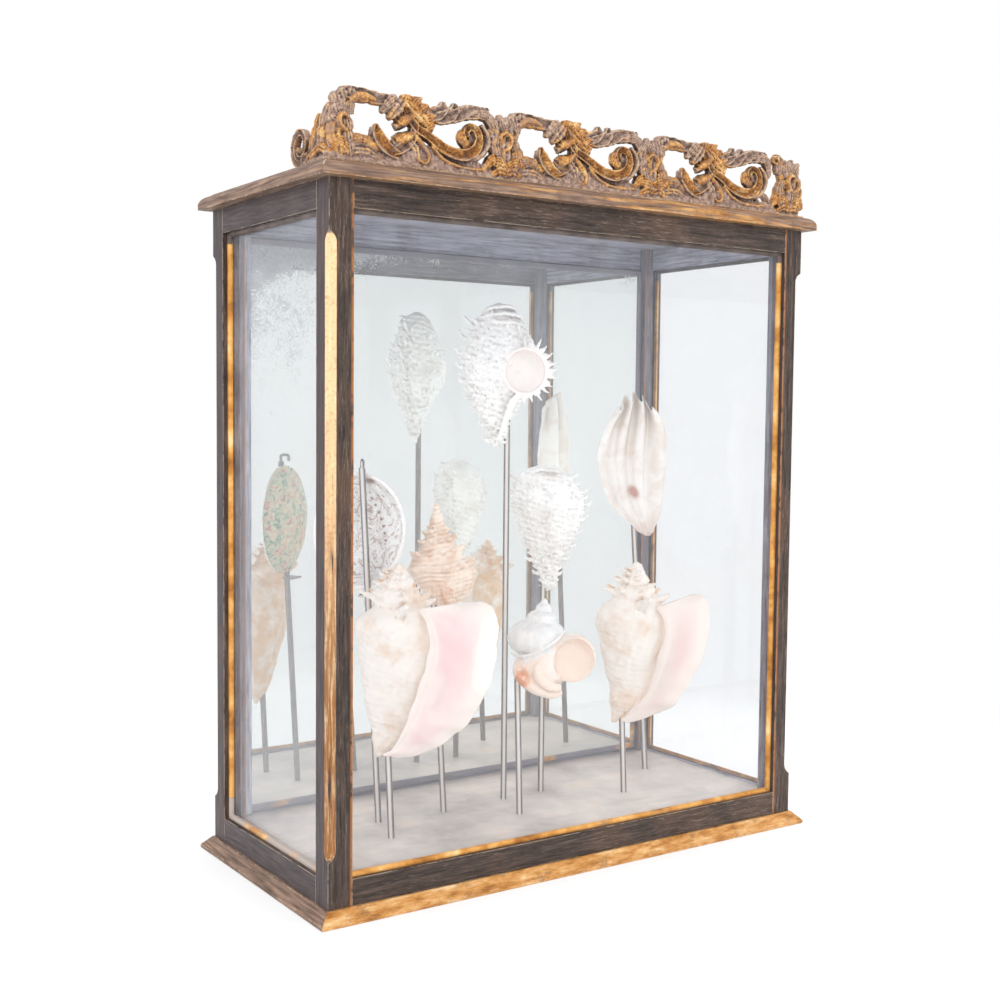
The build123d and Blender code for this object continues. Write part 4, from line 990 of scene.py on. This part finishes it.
class Skin(Heap):
    """A shell put together from closed pieces; (right, back, up) in millimetres."""

    def __init__(self, centre, stations=(), flat=1.0, seed=0):
        super().__init__()
        self.centre = centre
        self.chance = random.Random(seed)
        if stations:
            self.body = Blank(stations, flat)
            self.rings(self.body.rings(), OUTSIDE)

    def rings(self, rings, value):
        self.loft(rings)
        self.samples += [(p, value) for ring in rings for p in ring[::3]]

    def tube(self, points, radii, value=OUTSIDE, sides=12, flat=1.0):
        line = smooth_line(points, max(8, int(length(points) / 2.5)))
        rings = []
        for k, centre in enumerate(line):
            ahead = ahead_on(line, k).normalized()
            side = ahead.cross(Vector((0, 1, 0)))
            side = side.normalized() if side.length > 0.05 else Vector((1, 0, 0))
            other = ahead.cross(side).normalized()
            r = between(radii, k / (len(line) - 1))
            rings.append([centre + side * (r * math.cos(t)) + other * (r * flat * math.sin(t))
                          for t in turns(sides)])
        self.rings(rings, value)

    def frond(self, foot, way, reach, thick, lift=0.35, value=OUTSIDE):
        """A short leafy spine, curling upwards from its foot."""
        way = Vector(way).normalized()
        curl = Vector((0, 0, lift * reach))
        self.tube([foot - way * thick, foot + way * reach * 0.55, foot + way * reach + curl],
                  [thick, thick * 0.8, thick * 0.3 + 0.25], value, 7)

    def fronds(self, count, spread, heights, reach, thick):
        """Fronds scattered over a part of the body: between two turns and two heights."""
        chance = self.chance
        for _ in range(count):
            turn = math.radians(chance.uniform(*spread))
            up = chance.uniform(*heights)
            way = (math.cos(turn), math.sin(turn) * 0.9, chance.uniform(-0.45, 0.45))
            self.frond(self.body.point(turn, up, FROND_ROOT), way, chance.uniform(*reach),
                       thick, 0.25)

    def varix(self, turn, high, low, count, reach, thick):
        """A row of fronds down the body, long and short in turn, with smaller ones beside."""
        chance = self.chance
        for k in range(count):
            up = high + (low - high) * k / (count - 1)
            long = reach * (0.6 if k % 2 else 1.0) * chance.uniform(0.8, 1.15)
            long *= 1 - 0.35 * k / count
            for side, share in ((0, 1.0), (-13, 0.62), (12, 0.5)):
                at = math.radians(turn + side + chance.uniform(-3, 3))
                way = (math.cos(at), math.sin(at), chance.uniform(-0.1, 0.35))
                self.frond(self.body.point(at, up, FROND_ROOT), way, long * share,
                           thick * (0.6 + 0.4 * share))

    def lip(self, rows, values):
        """A flaring lip: rows of (inner point, outer point, bow towards the viewer)."""
        inner, outer = (smooth_line([row[i] for row in rows], LIP_ALONG) for i in (0, 1))
        bows = [row[2] for row in rows]
        rings = []
        for k in range(LIP_ALONG):
            t = k / (LIP_ALONG - 1)
            fade = min(1.0, 6.0 * t + 0.2, 3.0 * (1 - t) + 0.3)
            front, back = [], []
            for i in range(LIP_ACROSS):
                s = i / (LIP_ACROSS - 1)
                p = inner[k].lerp(outer[k], s)
                p = p + Vector((0, -between(bows, t) * math.sin(math.pi * s), 0))
                half = 0.5 * LIP_THICK * (1 - 0.5 * s)
                value = between(values, s)
                if value > POLISHED:
                    value = POLISHED + (value - POLISHED) * fade
                front.append(p - Vector((0, half, 0)))
                back.append(p + Vector((0, half, 0)))
                self.samples.append((p - Vector((0, half + 0.5, 0)), value))
                self.samples.append((p + Vector((0, half + 0.5, 0)), OUTSIDE))
            rings.append(front + back[::-1])
        self.loft(rings)

    def finished(self, name, grid, ease, shape):
        """The piece, with each point moved and valued by the shape function."""
        mesh, nearest = self.fused(name, grid * MM, ease, MM)
        places, blush, warm = [], [], []
        for vertex, normal in surface(mesh):
            p, value, heat = shape(vertex / MM, normal, nearest(vertex / MM))
            places.extend(in_place(self.centre, p))
            blush.append(value)
            warm.append(max(0.0, min(1.0, heat)))
        return made_piece(mesh, places, blush=blush, warm=warm)


def spot(p, centre, radii):
    """How far into an oval in (right, up) a point lies: 0 at its edge, 1 at its middle."""
    return max(0.0, 1 - ((p.x - centre[0]) / radii[0]) ** 2 - ((p.z - centre[1]) / radii[1]) ** 2)


def crusted(p, normal, size, cord_gap, cord_height):
    """A rough shell surface: raised cords round it, broken up by knobs."""
    around = math.sin((p.z + 0.30 * p.x) * 2 * math.pi / cord_gap)
    broken = 0.55 + 0.9 * noise.noise(p * 0.11)
    lumps = noise.noise(p * 0.19) * size + abs(noise.noise(p * 0.42)) * size * 0.9
    return p + normal * (lumps + cord_height * around * broken)


def murex_upper():
    """A frilled murex showing its round mouth; its canal runs down to the left."""
    skin = Skin((0, 24, 610),
                [(86, -14, -4), (80, -27, 6), (70, -34, 16), (58, -40, 22), (36, -48, 34),
                 (8, -54, 42), (-16, -51, 36), (-38, -42, 18), (-62, -30, 4), (-86, -19, -5),
                 (-99, -14, -9)], 0.80, 11)
    chance = skin.chance
    mouth = (24.0, -2.0)
    for up, left, right in ((79, -30, 12), (70, -36, 18), (60, -40, 22)):
        skin.tube([(left, -8, up - 3), (left * 0.6, -20, up + 1), (0, -26, up + 1.5),
                   (right * 0.8, -18, up - 1), (right, -6, up - 4)],
                  [1.6, 2.1, 2.3, 2.1, 1.5], OUTSIDE, 10)
    skin.varix(176, 58, -92, 17, 19.0, 3.0)
    skin.varix(212, 60, -94, 15, 11.5, 2.8)
    skin.varix(250, 52, -90, 14, 7.0, 2.4)
    skin.varix(120, 50, -88, 12, 11.0, 2.7)
    skin.fronds(150, (170, 330), (-92, 74), (2.0, 5.5), 1.9)
    skin.fronds(70, (20, 170), (-80, 70), (3.0, 7.0), 2.1)
    # the flaring throat, its rim and the fronds of its outer lip
    skin.rings([[Vector((mouth[0] + r * math.cos(t), y + 5 * math.cos(t) * r / 29,
                         mouth[1] + 1.05 * r * math.sin(t))) for t in turns(44)]
                for r, y in ((12, 6), (23, -4), (28, -18), (28.5, -31))], RUBBED)
    skin.tube([(mouth[0] + 27.6 * math.cos(t), -32 + 5 * math.cos(t),
                mouth[1] + 29.5 * math.sin(t)) for t in turns(28) + [2 * math.pi]],
              [2.0], 0.62, 10)
    for k in range(26):
        turn = math.radians(-96 + 188 * k / 25 + chance.uniform(-3, 3))
        long = chance.uniform(12, 19) if k % 2 else chance.uniform(6, 10)
        way = Vector((math.cos(turn), 0.1 + 0.2 * chance.random(), math.sin(turn)))
        foot = Vector((mouth[0] + 27 * math.cos(turn), -30, mouth[1] + 29 * math.sin(turn)))
        skin.frond(foot, way, long, 2.5, 0.12, 0.34)
        skin.frond(foot + Vector((0, 9, 1)), way + Vector((0, 0.5, 0.1)), long * 0.7, 2.6, 0.2)
    skin.tube([(mouth[0] - 8, -32, mouth[1] - 30), (7, -27, -44), (-1, -18, -66),
               (-8, -9, -88), (-12, -2, -99)], [4.4, 4.6, 4.0, 3.2, 2.2], RUBBED, 10)
    for k in range(16):
        t = k / 15
        foot = Vector((9, -26, -38)).lerp(Vector((-8, -8, -92)), t)
        skin.frond(foot, (1, -0.3 + 0.5 * chance.random(), chance.uniform(-0.5, 0.1)),
                   chance.uniform(7, 13) * (1 - 0.4 * t), 2.2, 0.05)

    def shape(p, normal, value):
        deep = spot(p, mouth, (25.6, 27.4)) if p.y < -6 else 0.0
        if deep > 0:
            return p + Vector((0, 24 * deep ** 0.6, 0)), POLISHED + 0.22 * (1 - deep) ** 2, 0.0
        if value < RUBBED:
            p = crusted(p, normal, 1.5, 8.0, 0.8)
        return p, value, 0.0
    return skin.finished("murex_upper_shell", 1.15, 1, shape)


def murex_lower():
    """A second frilled murex, broad-shouldered and seen from its back."""
    skin = Skin((70, 24, 409),
                [(76, -13, 5), (70, -30, 16), (60, -41, 30), (44, -44, 42), (28, -45, 47),
                 (8, -41, 44), (-12, -34, 37), (-36, -25, 27), (-62, -14, 15), (-84, -5, 7),
                 (-93, -2, 4)], 0.78, 23)
    for up, left, right in ((70, -27, 14), (60, -38, 27)):
        skin.tube([(left, -12, up - 3), (left * 0.4, -26, up + 1), (right * 0.5, -26, up),
                   (right, -12, up - 4)], [1.6, 2.2, 2.0, 1.5], OUTSIDE, 10)
    skin.varix(178, 58, -88, 17, 13.0, 2.8)
    skin.varix(2, 60, -88, 17, 13.5, 2.8)
    skin.varix(318, 54, -86, 14, 7.0, 2.5)
    skin.varix(222, 54, -86, 14, 7.0, 2.5)
    skin.varix(268, 50, -86, 13, 5.0, 2.4)
    skin.varix(90, 50, -80, 12, 9.0, 2.6)
    skin.fronds(170, (180, 360), (-86, 68), (1.8, 4.6), 1.9)
    skin.fronds(50, (10, 170), (-80, 60), (3.0, 6.0), 2.1)
    return skin.finished("murex_lower_shell", 1.15, 1, lambda p, normal, value: (
        crusted(p, normal, 1.3, 7.5, 0.7), OUTSIDE, 0.0))


def spire(skin, seat, apex, level, whorl):
    """The knobbed whorls over a conch's shoulder, clockwise from the apex, and their spikes."""
    place = Matrix.Translation((seat, 4, 0)) @ Matrix.Rotation(math.radians(4), 4, "Y")

    def reach(left):
        """The size, angle and height of the spire, that many turns from its end."""
        size = SPIRE_GROWTH ** (-left)
        return size, SPIRE_END + 2 * math.pi * left, apex - (apex - level) * size
    rings = []
    for k in range(SPIRE_TURNS * SPIRE_STEPS + 1):
        left = SPIRE_TURNS - k / SPIRE_STEPS
        size, angle, height = reach(left)
        knob = 0.34 * max(0.0, math.cos(2 * math.pi * 7 * left)) ** 3
        ring = []
        for turn in turns(SPIRE_AROUND):
            fat = whorl * 0.52 * size * (1 + knob * math.exp(-((turn - 0.6) / 0.5) ** 2))
            out = whorl * 0.38 * size + fat * math.cos(turn)
            ring.append(place @ Vector((out * math.cos(angle), out * math.sin(angle),
                                        height + fat * math.sin(turn))))
        rings.append(ring)
    skin.rings(rings, OUTSIDE)
    for k in range(30):
        size, angle, height = reach(k / 7)
        out = whorl * size * (0.80 + 0.20 * size)
        foot = Vector((seat + out * math.cos(angle), 4 + out * math.sin(angle),
                       height + whorl * size * 0.30))
        way = Vector((math.cos(angle), math.sin(angle), 0.40))
        skin.frond(foot - way * 5 * size, way, 22 * size ** 1.4 + 1.0, 7.0 * size + 0.4, 0.05)


def conch(name, skin, rows, values, seed, heat_height):
    """A winged conch seen from its mouth side, its flared lip to the right."""
    skin.lip(rows, values)
    # the callus that lies over the body from the mouth, with a soft edge
    skin.tube([Vector(row[0]) + Vector((-2, 0, 0)) for row in rows],
              [4.0, 6.5, 8.0, 7.5, 5.5, 3.0], 0.56, 16, 0.7)

    def shape(p, normal, value):
        folds = noise.noise(Vector((p.x * 0.03, p.y * 0.03, p.z * 0.05)) + Vector((seed, 0, 0)))
        rough = max(0.0, 1 - value / RUBBED)
        cords = math.sin((p.z + 0.35 * p.x + 6 * folds) * 2 * math.pi / 8.5)
        knots = noise.noise(p * 0.12 + Vector((0, seed, 0)))
        growth = math.sin((p.x - 0.25 * p.z + 9 * folds) * 2 * math.pi / 13.0)
        p = p + normal * (folds * 2.6 + rough * (0.18 * cords + 0.35 * growth + 0.7 * knots
                                                 + 0.35 * noise.noise(p * 0.35)))
        heat = (heat_height - p.z) / 90 + 0.40 * noise.noise(p * 0.04)
        if p.y > 2:
            heat = 1.1 + 1.0 * noise.noise(p * 0.028) + p.y / 60
        return p, value, heat
    return skin.finished(name, 1.25, 2, shape)


def queen_conch():
    skin = Skin((-217, -47, 252),
                [(78, -8, 26), (68, -24, 42), (57, -35, 52), (44, -38, 56), (26, -35, 57),
                 (4, -32, 54), (-18, -29, 47), (-42, -25, 37), (-66, -21, 27), (-88, -17, 13),
                 (-104, -14, 0), (-109, -12, -7)], 0.70)
    spire(skin, 7.0, 130.0, 60.0, 41.0)
    rows = [((44, -26, 74), (88, -18, 82), 2.0), ((58, -32, 50), (125, -28, 77), 6.0),
            ((60, -32, 20), (131, -34, 36), 9.0), ((50, -30, -16), (122, -36, -14), 10.0),
            ((33, -27, -62), (98, -32, -60), 8.0), ((14, -20, -94), (50, -24, -96), 4.0),
            ((0, -12, -104), (14, -16, -106), 0.0)]
    values = (0.74, 0.92, 1.0, 1.0, 0.97, 0.92, 0.84, 0.74, 0.64, 0.54, 0.43, 0.40)
    return conch("queen_conch_shell", skin, rows, values, 3.0, -66)


def pink_conch():
    skin = Skin((147, -37, 240),
                [(74, 2, 30), (64, -16, 46), (52, -30, 56), (40, -33, 60), (22, -29, 61),
                 (-2, -25, 58), (-28, -19, 50), (-52, -14, 43), (-74, -12, 31), (-90, -11, 12),
                 (-100, -9, -3)], 0.68)
    spire(skin, 15.0, 122.0, 53.0, 40.0)
    rows = [((50, -20, 60), (92, -16, 77), 2.0), ((64, -26, 42), (114, -24, 70), 5.0),
            ((63, -27, 14), (113, -30, 12), 8.0), ((55, -26, -18), (96, -30, -30), 8.0),
            ((42, -22, -56), (71, -26, -70), 6.0), ((22, -14, -82), (42, -18, -88), 3.0),
            ((4, -9, -97), (12, -11, -99), 0.0)]
    values = (0.58, 0.70, 0.78, 0.80, 0.77, 0.72, 0.65, 0.57, 0.50, 0.43)
    return conch("pink_conch_shell", skin, rows, values, 8.0, -48)


def tan_conch():
    """A tall corded spire on a knobbed body, with dark folds at its mouth."""
    skin = Skin((-112, 2, 375),
                [(66, -9, -5), (46, -14, 3), (26, -20, 11), (10, -27, 22), (-4, -36, 33),
                 (-15, -41, 42), (-28, -35, 42), (-44, -25, 38), (-59, -9, 29), (-72, 7, 17)],
                0.84)
    for k in range(44):
        left = k / 11
        up = -14 + 74 * (1 - 0.74 ** left)
        if up > 58:
            break
        turn = math.radians(-80) + 2 * math.pi * left
        size = 0.80 ** left
        skin.frond(skin.body.point(turn, up, 0.90), (math.cos(turn), math.sin(turn), 0.35),
                   13 * size, 5.8 * size, 0.0)
    for k in range(5):
        skin.tube([(3 + 3.5 * k, -30, -38 - k), (7 + 2.4 * k, -26, -54), (11 + 1.2 * k, -15, -68)],
                  [1.2, 2.2, 1.4], 0.8, 8)

    def shape(p, normal, value):
        slope = p.z - 0.16 * p.x + 4.0 * noise.noise(p * 0.035)
        cords = math.sin(slope * 2 * math.pi / 5.6)
        whorls = math.sin(slope * 2 * math.pi / 15.5)
        broken = 0.6 + noise.noise(p * 0.09)
        p = p + normal * (0.55 * cords * broken + 1.1 * whorls * (p.z > -20)
                          + 1.5 * noise.noise(p * 0.10) + 0.7 * noise.noise(p * 0.3))
        heat = 0.30 - 0.32 * cords * broken + 0.7 * noise.noise(p * 0.06)
        if value > POLISHED:
            heat = 1.0
        return p, OUTSIDE, heat + 0.5 * max(0.0, (-p.z - 44) / 28)
    return skin.finished("tan_conch_shell", 1.0, 1, shape)


def turban():
    """A polished turban: a pearly whorl on the left, its wide mouth down to the right."""
    skin = Skin((-3, -60, 262))
    for centre, (wide, deep, tall), tilt, value in (
            ((-4, 0, 10), (37, 35, 25), -6, 0.1), ((3, 0, 34), (20, 19, 11), 0, 0.1),
            ((5, 0, 45), (10.5, 10, 9), 0, 0.2), ((5.5, 0, 54), (4.4, 4.4, 5), 0, 0.25),
            ((10, -5, -22), (46, 33, 31), -24, 0.55), ((40, -14, -14), (31, 24, 31), -24, 0.8)):
        turned = Matrix.Rotation(math.radians(tilt), 3, "Y")
        skin.rings([[Vector(centre) + turned @ Vector((wide * math.sin(lat) * math.cos(t),
                                                       deep * math.sin(lat) * math.sin(t),
                                                       tall * math.cos(lat)))
                     for t in turns(44)] for lat in turns(48)[1:24]], value)
    skin.tube([(-36, -10, -9), (-30, -19, -11), (-14, -29, -9), (4, -33, 0), (20, -31, 11),
               (31, -20, 21)], [1.6, 2.2, 2.6, 2.8, 2.4, 1.4], 0.4, 12)
    skin.tube([(-28, -18, -24), (-22, -24, -38), (-6, -26, -50), (14, -24, -58), (28, -20, -57)],
              [6, 8, 8.5, 7, 4], 0.6, 14)
    skin.tube([(-4, -32, -20), (-2, -35, -34), (10, -34, -46), (26, -30, -50)],
              [5, 7, 7, 5], 0.9, 14)

    def shape(p, normal, value):
        heat = 1.3 * spot(p, (-23, -38), (13, 17)) if p.y < 0 else 0.0
        deep = spot(p, (43, -16), (26, 28))
        if p.y < 0 and deep > 0:
            return p + Vector((-8, 27, 4)) * deep ** 0.62, 0.95, heat
        return p, value, heat
    return skin.finished("turban_shell", 0.95, 4, shape)


def valve(name, centre, rows, columns, point):
    """A thin curved shell from a formula of (across, up), closed at its rim."""
    mesh = bmesh.new()
    warm = mesh.verts.layers.float.new("warm")
    blush = mesh.verts.layers.float.new("blush")
    front, back = {}, {}
    for j in range(rows + 1):
        for i in range(columns + 1):
            p, mark = point(i / columns, j / rows)
            for q, store, side in ((p, front, POLISHED),
                                   (p + Vector((0, VALVE_THICK, 0)), back, OUTSIDE)):
                vertex = mesh.verts.new(in_place(centre, q))
                vertex[warm] = mark
                vertex[blush] = side
                store[j, i] = vertex
    for j in range(rows):
        for i in range(columns):
            corners = ((j, i), (j, i + 1), (j + 1, i + 1), (j + 1, i))
            mesh.faces.new([front[corner] for corner in corners])
            mesh.faces.new([back[corner] for corner in (corners[0], *corners[:0:-1])])
    edge = [(0, i) for i in range(columns)] + [(j, columns) for j in range(rows)]
    edge += [(rows, i) for i in range(columns, 0, -1)] + [(j, 0) for j in range(rows, 0, -1)]
    for a, b in zip(edge, edge[1:] + edge[:1]):
        mesh.faces.new((front[b], front[a], back[a], back[b]))
    bmesh.ops.remove_doubles(mesh, verts=mesh.verts, dist=WELD)
    bmesh.ops.recalc_face_normals(mesh, faces=mesh.faces)
    for face in mesh.faces:
        face.smooth = True
    made = bpy.data.meshes.new(name)
    mesh.to_mesh(made)
    mesh.free()
    return made_piece(made)


def clam_valve():
    """A fluted clam valve standing on its hinge, deep folds running up to its rim."""
    outline = Blank([(-105, 13, 19), (-98, 2, 24), (-88, -8, 28), (-74, -24, 33),
                     (-60, -37, 35), (-41, -46, 37), (-16, -53, 40), (10, -56, 42), (36, -52, 41),
                     (60, -44, 37), (80, -35, 29), (92, -28, 20)])

    def point(across, up):
        left, right, _ = outline.row(-105 + 197 * up)
        fan = across * 2 - 1
        fold = math.cos(across * math.pi * 7.5 + 0.8 + 0.5 * math.sin(up * 3))
        fold = math.copysign(abs(fold) ** 0.7, fold)
        depth = 10.5 * up ** 1.1 * (1 - 0.5 * fan * fan)
        side = left + (right - left) * across + 1.8 * up * math.sin(across * 22)
        height = -105 + 197 * up - 20 * up ** 3 * fan * fan + 6.5 * fold * up ** 4
        hollow = 26 * (1 - fan * fan) * math.sin(math.pi * min(up * 0.9 + 0.05, 1)) ** 0.8
        lines = 0.45 * math.sin(up * 95 + 2 * fold) + 0.5 * math.sin(up * 31)
        mark = math.exp(-((side + 3) / 8.0) ** 2 - ((height + 45 + 0.4 * side) / 8.5) ** 2)
        mark = max(mark, 0.22 * max(0.0, (-height - 50) / 40))
        return Vector((side, hollow - 12 + depth * fold + lines * 0.6, height)), mark
    return valve("clam_shell", (236, 40, 488), 130, 120, point)


def abalone():
    """An ear shell, its nacre to the viewer, with a rolled rim and a row of pores."""
    low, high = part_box("abalone")
    tilt = math.radians(14)
    pores = [(17 + 17 * k / 6 + 3 * math.sin(k * 0.5), 40 - 52 * k / 6) for k in range(7)]

    def point(across, up):
        turn = 2 * math.pi * across
        right = 60.5 * (1 + 0.06 * math.cos(turn - 0.6)) * up * math.cos(turn)
        rise = 77.0 * up * math.sin(turn)
        x = (right * math.cos(tilt) + rise * math.sin(tilt) * 0.55) * 0.95
        z = (rise * math.cos(tilt) - right * math.sin(tilt) * 0.75) * 0.96
        hollow = 17 * (1 - up ** 2.2) - 14.5
        rim = -2.6 * math.exp(-((up - 0.95) / 0.04) ** 2)
        swirl = 1.6 * math.sin(4 * turn + up * 7) * (1 - up) * up * 3
        waves = 0.35 * math.sin(up * 42 + 5 * math.sin(turn * 2)) * up
        mark = 0.75 * math.exp(-((x - 15) / 9) ** 2 - ((z - 62) / 6) ** 2)
        for across_pore, up_pore in pores:
            far = math.hypot(x - across_pore, z - up_pore)
            rim -= 1.5 * math.exp(-((far - 3.2) / 1.3) ** 2)
            mark = max(mark, math.exp(-(far / 2.0) ** 2))
        if up > 0.93:
            mark = -1.0
        return Vector((x, hollow + rim + swirl + waves, z)), mark
    return valve("abalone_shell", (low + high) / 2 / MM, 90, 230, point)


def shell_skin(name, outside, mottle_and_shade, inside, blushing, heat, gloss, coat):
    """Calcareous shell: mottled outside, painted shade in its hollows and creases, blushing
    polished inside, stained where warm.
    """
    shade = Shader(name)
    blush = shade.attribute("blush")
    # one darker tone serves for the mottling and for the painted shade below
    crust = shade.steps(shade.noise(30.0, 5.0, 0.6), 0.46, 0.68)
    tone = shade.tint(outside, crust, 0.6, mottle_and_shade)
    # painted shade in sheltered hollows
    hollow = shade.steps(shade.shelter(0.012), 0.30, 0.85, 1.0, 0.0)
    tone = shade.tint(tone, hollow, 0.60, mottle_and_shade)
    # painted shade in the creases of the fine mesh
    painted_crease_shade = shade.steps(shade.hollows(), 0.492, 0.440)
    tone = shade.tint(tone, painted_crease_shade, 0.55, dimmed(mottle_and_shade, 0.66))
    stained = shade.times(shade.attribute("warm"),
                          shade.steps(shade.noise(55.0, 5.0, 0.6), 0.28, 0.64))
    tone = shade.tint(tone, stained, 0.85, heat)
    rosy = shade.times(shade.steps(blush, 0.52, 1.0),
                       shade.steps(shade.noise(13.0, 3.0, 0.55), 0.34, 0.60, 0.35, 1.0))
    tone = shade.mix(shade.steps(blush, 0.20, 0.46), tone, shade.mix(rosy, inside, blushing))
    grain = shade.times(shade.noise(260.0, 5.0, 0.65), shade.steps(blush, 0.1, 0.5, 1.0, 0.10))
    return shade.finished(tone, shade.steps(blush, 0.1, 0.5, 0.60, gloss),
                          shade.bump(grain, 0.5, 0.0012), Coat_Weight=coat, Coat_Roughness=0.12)


def pearl(name):
    """A turban polished down to its pearl, peach inside the mouth with painted shade deeper in,
    one orange scar.
    """
    shade = Shader(name)
    blush = shade.attribute("blush")
    tone = shade.ramp(shade.noise(26.0, 3.0, 0.55, distortion=1.2), (0.30, 222, 220, 220),
                      (0.45, 244, 241, 238), (0.58, 228, 232, 232), (0.70, 246, 236, 230))
    peach = shade.mix(shade.steps(shade.noise(18.0, 3.0, 0.5), 0.35, 0.65), (250, 226, 208),
                      (252, 240, 230))
    tone = shade.mix(shade.steps(blush, 0.36, 0.62), tone, peach)
    # painted shade deeper inside the mouth
    tone = shade.mix(shade.steps(blush, 0.85, 0.95, 0.0, 0.7), tone, (247, 222, 205))
    tone = shade.tint(tone, shade.attribute("warm"),
                      shade.steps(shade.noise(90.0, 4.0, 0.6), 0.35, 0.55), (226, 150, 100))
    worn = shade.noise(60.0, 4.0, 0.6)
    return shade.finished(tone, shade.steps(worn, 0.3, 0.7, 0.16, 0.30),
                          shade.bump(worn, 0.2, 0.001), Metallic=0.10, Coat_Weight=0.7,
                          Coat_Roughness=0.06)


def fluted_lime(name):
    """The clam: a matt lime-white with faint cream growth lines, one rosy brown scar, painted
    shade in its sheltered folds.
    """
    shade = Shader(name)
    lines = shade.steps(shade.noise(40.0, 4.0, 0.6, distortion=0.8), 0.42, 0.62)
    tone = shade.mix(lines, (249, 245, 241), (240, 230, 220))
    # painted shade where the folds are sheltered
    painted_fold_shade = shade.steps(shade.shelter(0.016), 0.35, 0.85, 0.45, 0.0)
    tone = shade.mix(painted_fold_shade, tone, (206, 192, 178))
    tone = shade.mix(shade.steps(shade.attribute("warm"), 0.05, 0.8), tone, (196, 150, 136))
    return shade.finished(tone, shade.steps(shade.noise(70.0, 4.0, 0.6), 0.3, 0.7, 0.30, 0.48),
                          shade.bump(shade.noise(240.0, 5.0, 0.65), 0.35, 0.001))


def nacre(name):
    """The ear shell: silvery nacre and a white rim inside, a mottled green-brown outside."""
    shade = Shader(name)
    bands = shade.math("FRACT", shade.times(shade.noise(24.0, 3.0, 0.6, distortion=2.2), 6.0))
    wave = shade.math("ABSOLUTE", shade.math("SUBTRACT", shade.times(bands, 2.0), 1.0))
    inside = shade.ramp(wave, (0.0, 226, 228, 226), (0.40, 244, 242, 238),
                        (0.74, 232, 224, 222), (0.96, 180, 160, 148))
    warm = shade.attribute("warm")
    inside = shade.mix(shade.steps(warm, 0.2, 0.8), inside, (150, 118, 96))
    inside = shade.mix(shade.steps(warm, -0.7, -0.2, 1.0, 0.0), inside, (248, 244, 242))
    outside = shade.ramp(shade.noise(85.0, 5.0, 0.7, distortion=1.0), (0.36, 60, 92, 70),
                         (0.45, 146, 168, 132), (0.52, 214, 204, 176), (0.58, 206, 140, 100),
                         (0.68, 120, 84, 86))
    tone = shade.mix(shade.steps(shade.attribute("blush"), 0.15, 0.35), outside, inside)
    return shade.finished(tone, shade.steps(shade.noise(60.0, 4.0, 0.6), 0.3, 0.7, 0.20, 0.34),
                          shade.bump(shade.noise(70.0, 4.0, 0.6), 0.25, 0.001), Metallic=0.12,
                          Coat_Weight=0.5, Coat_Roughness=0.08)


def make_shells():
    white = shell_skin("murex_lime", (249, 248, 245), (222, 215, 209), (250, 245, 241),
                       (243, 208, 204), (232, 208, 188), 0.22, 0.2)
    pink = shell_skin("conch_lime", (244, 236, 227), (230, 198, 170), (244, 230, 221),
                      (240, 203, 202), (224, 168, 104), 0.16, 0.5)
    tan = shell_skin("tan_lime", (247, 232, 216), (228, 196, 170), (240, 212, 190),
                     (220, 164, 116), (212, 156, 116), 0.30, 0.2)
    for piece, node, slot, skin in (
            (murex_upper(), "murex_upper", "shell_white", white),
            (murex_lower(), "murex_lower", "shell_white", white),
            (queen_conch(), "queen_conch", "shell_pink", pink),
            (pink_conch(), "pink_conch", "shell_pink", pink),
            (tan_conch(), "tan_conch", "shell_tan", tan),
            (turban(), "turban", "shell_pearl", pearl("turban_pearl")),
            (clam_valve(), "clam_valve", "shell_white", fluted_lime("clam_lime")),
            (abalone(), "abalone", "shell_pearl", nacre("abalone_nacre"))):
        piece.data.materials.append(skin)
        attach(piece, "case")
        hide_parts(node)


# -------------------------------------------------------------------------- the scene
bpy.context.scene.view_settings.view_transform = "Standard"
make_camera()
make_world()
make_lights()
make_floor()
dress_frame()
make_cresting()
make_shells()
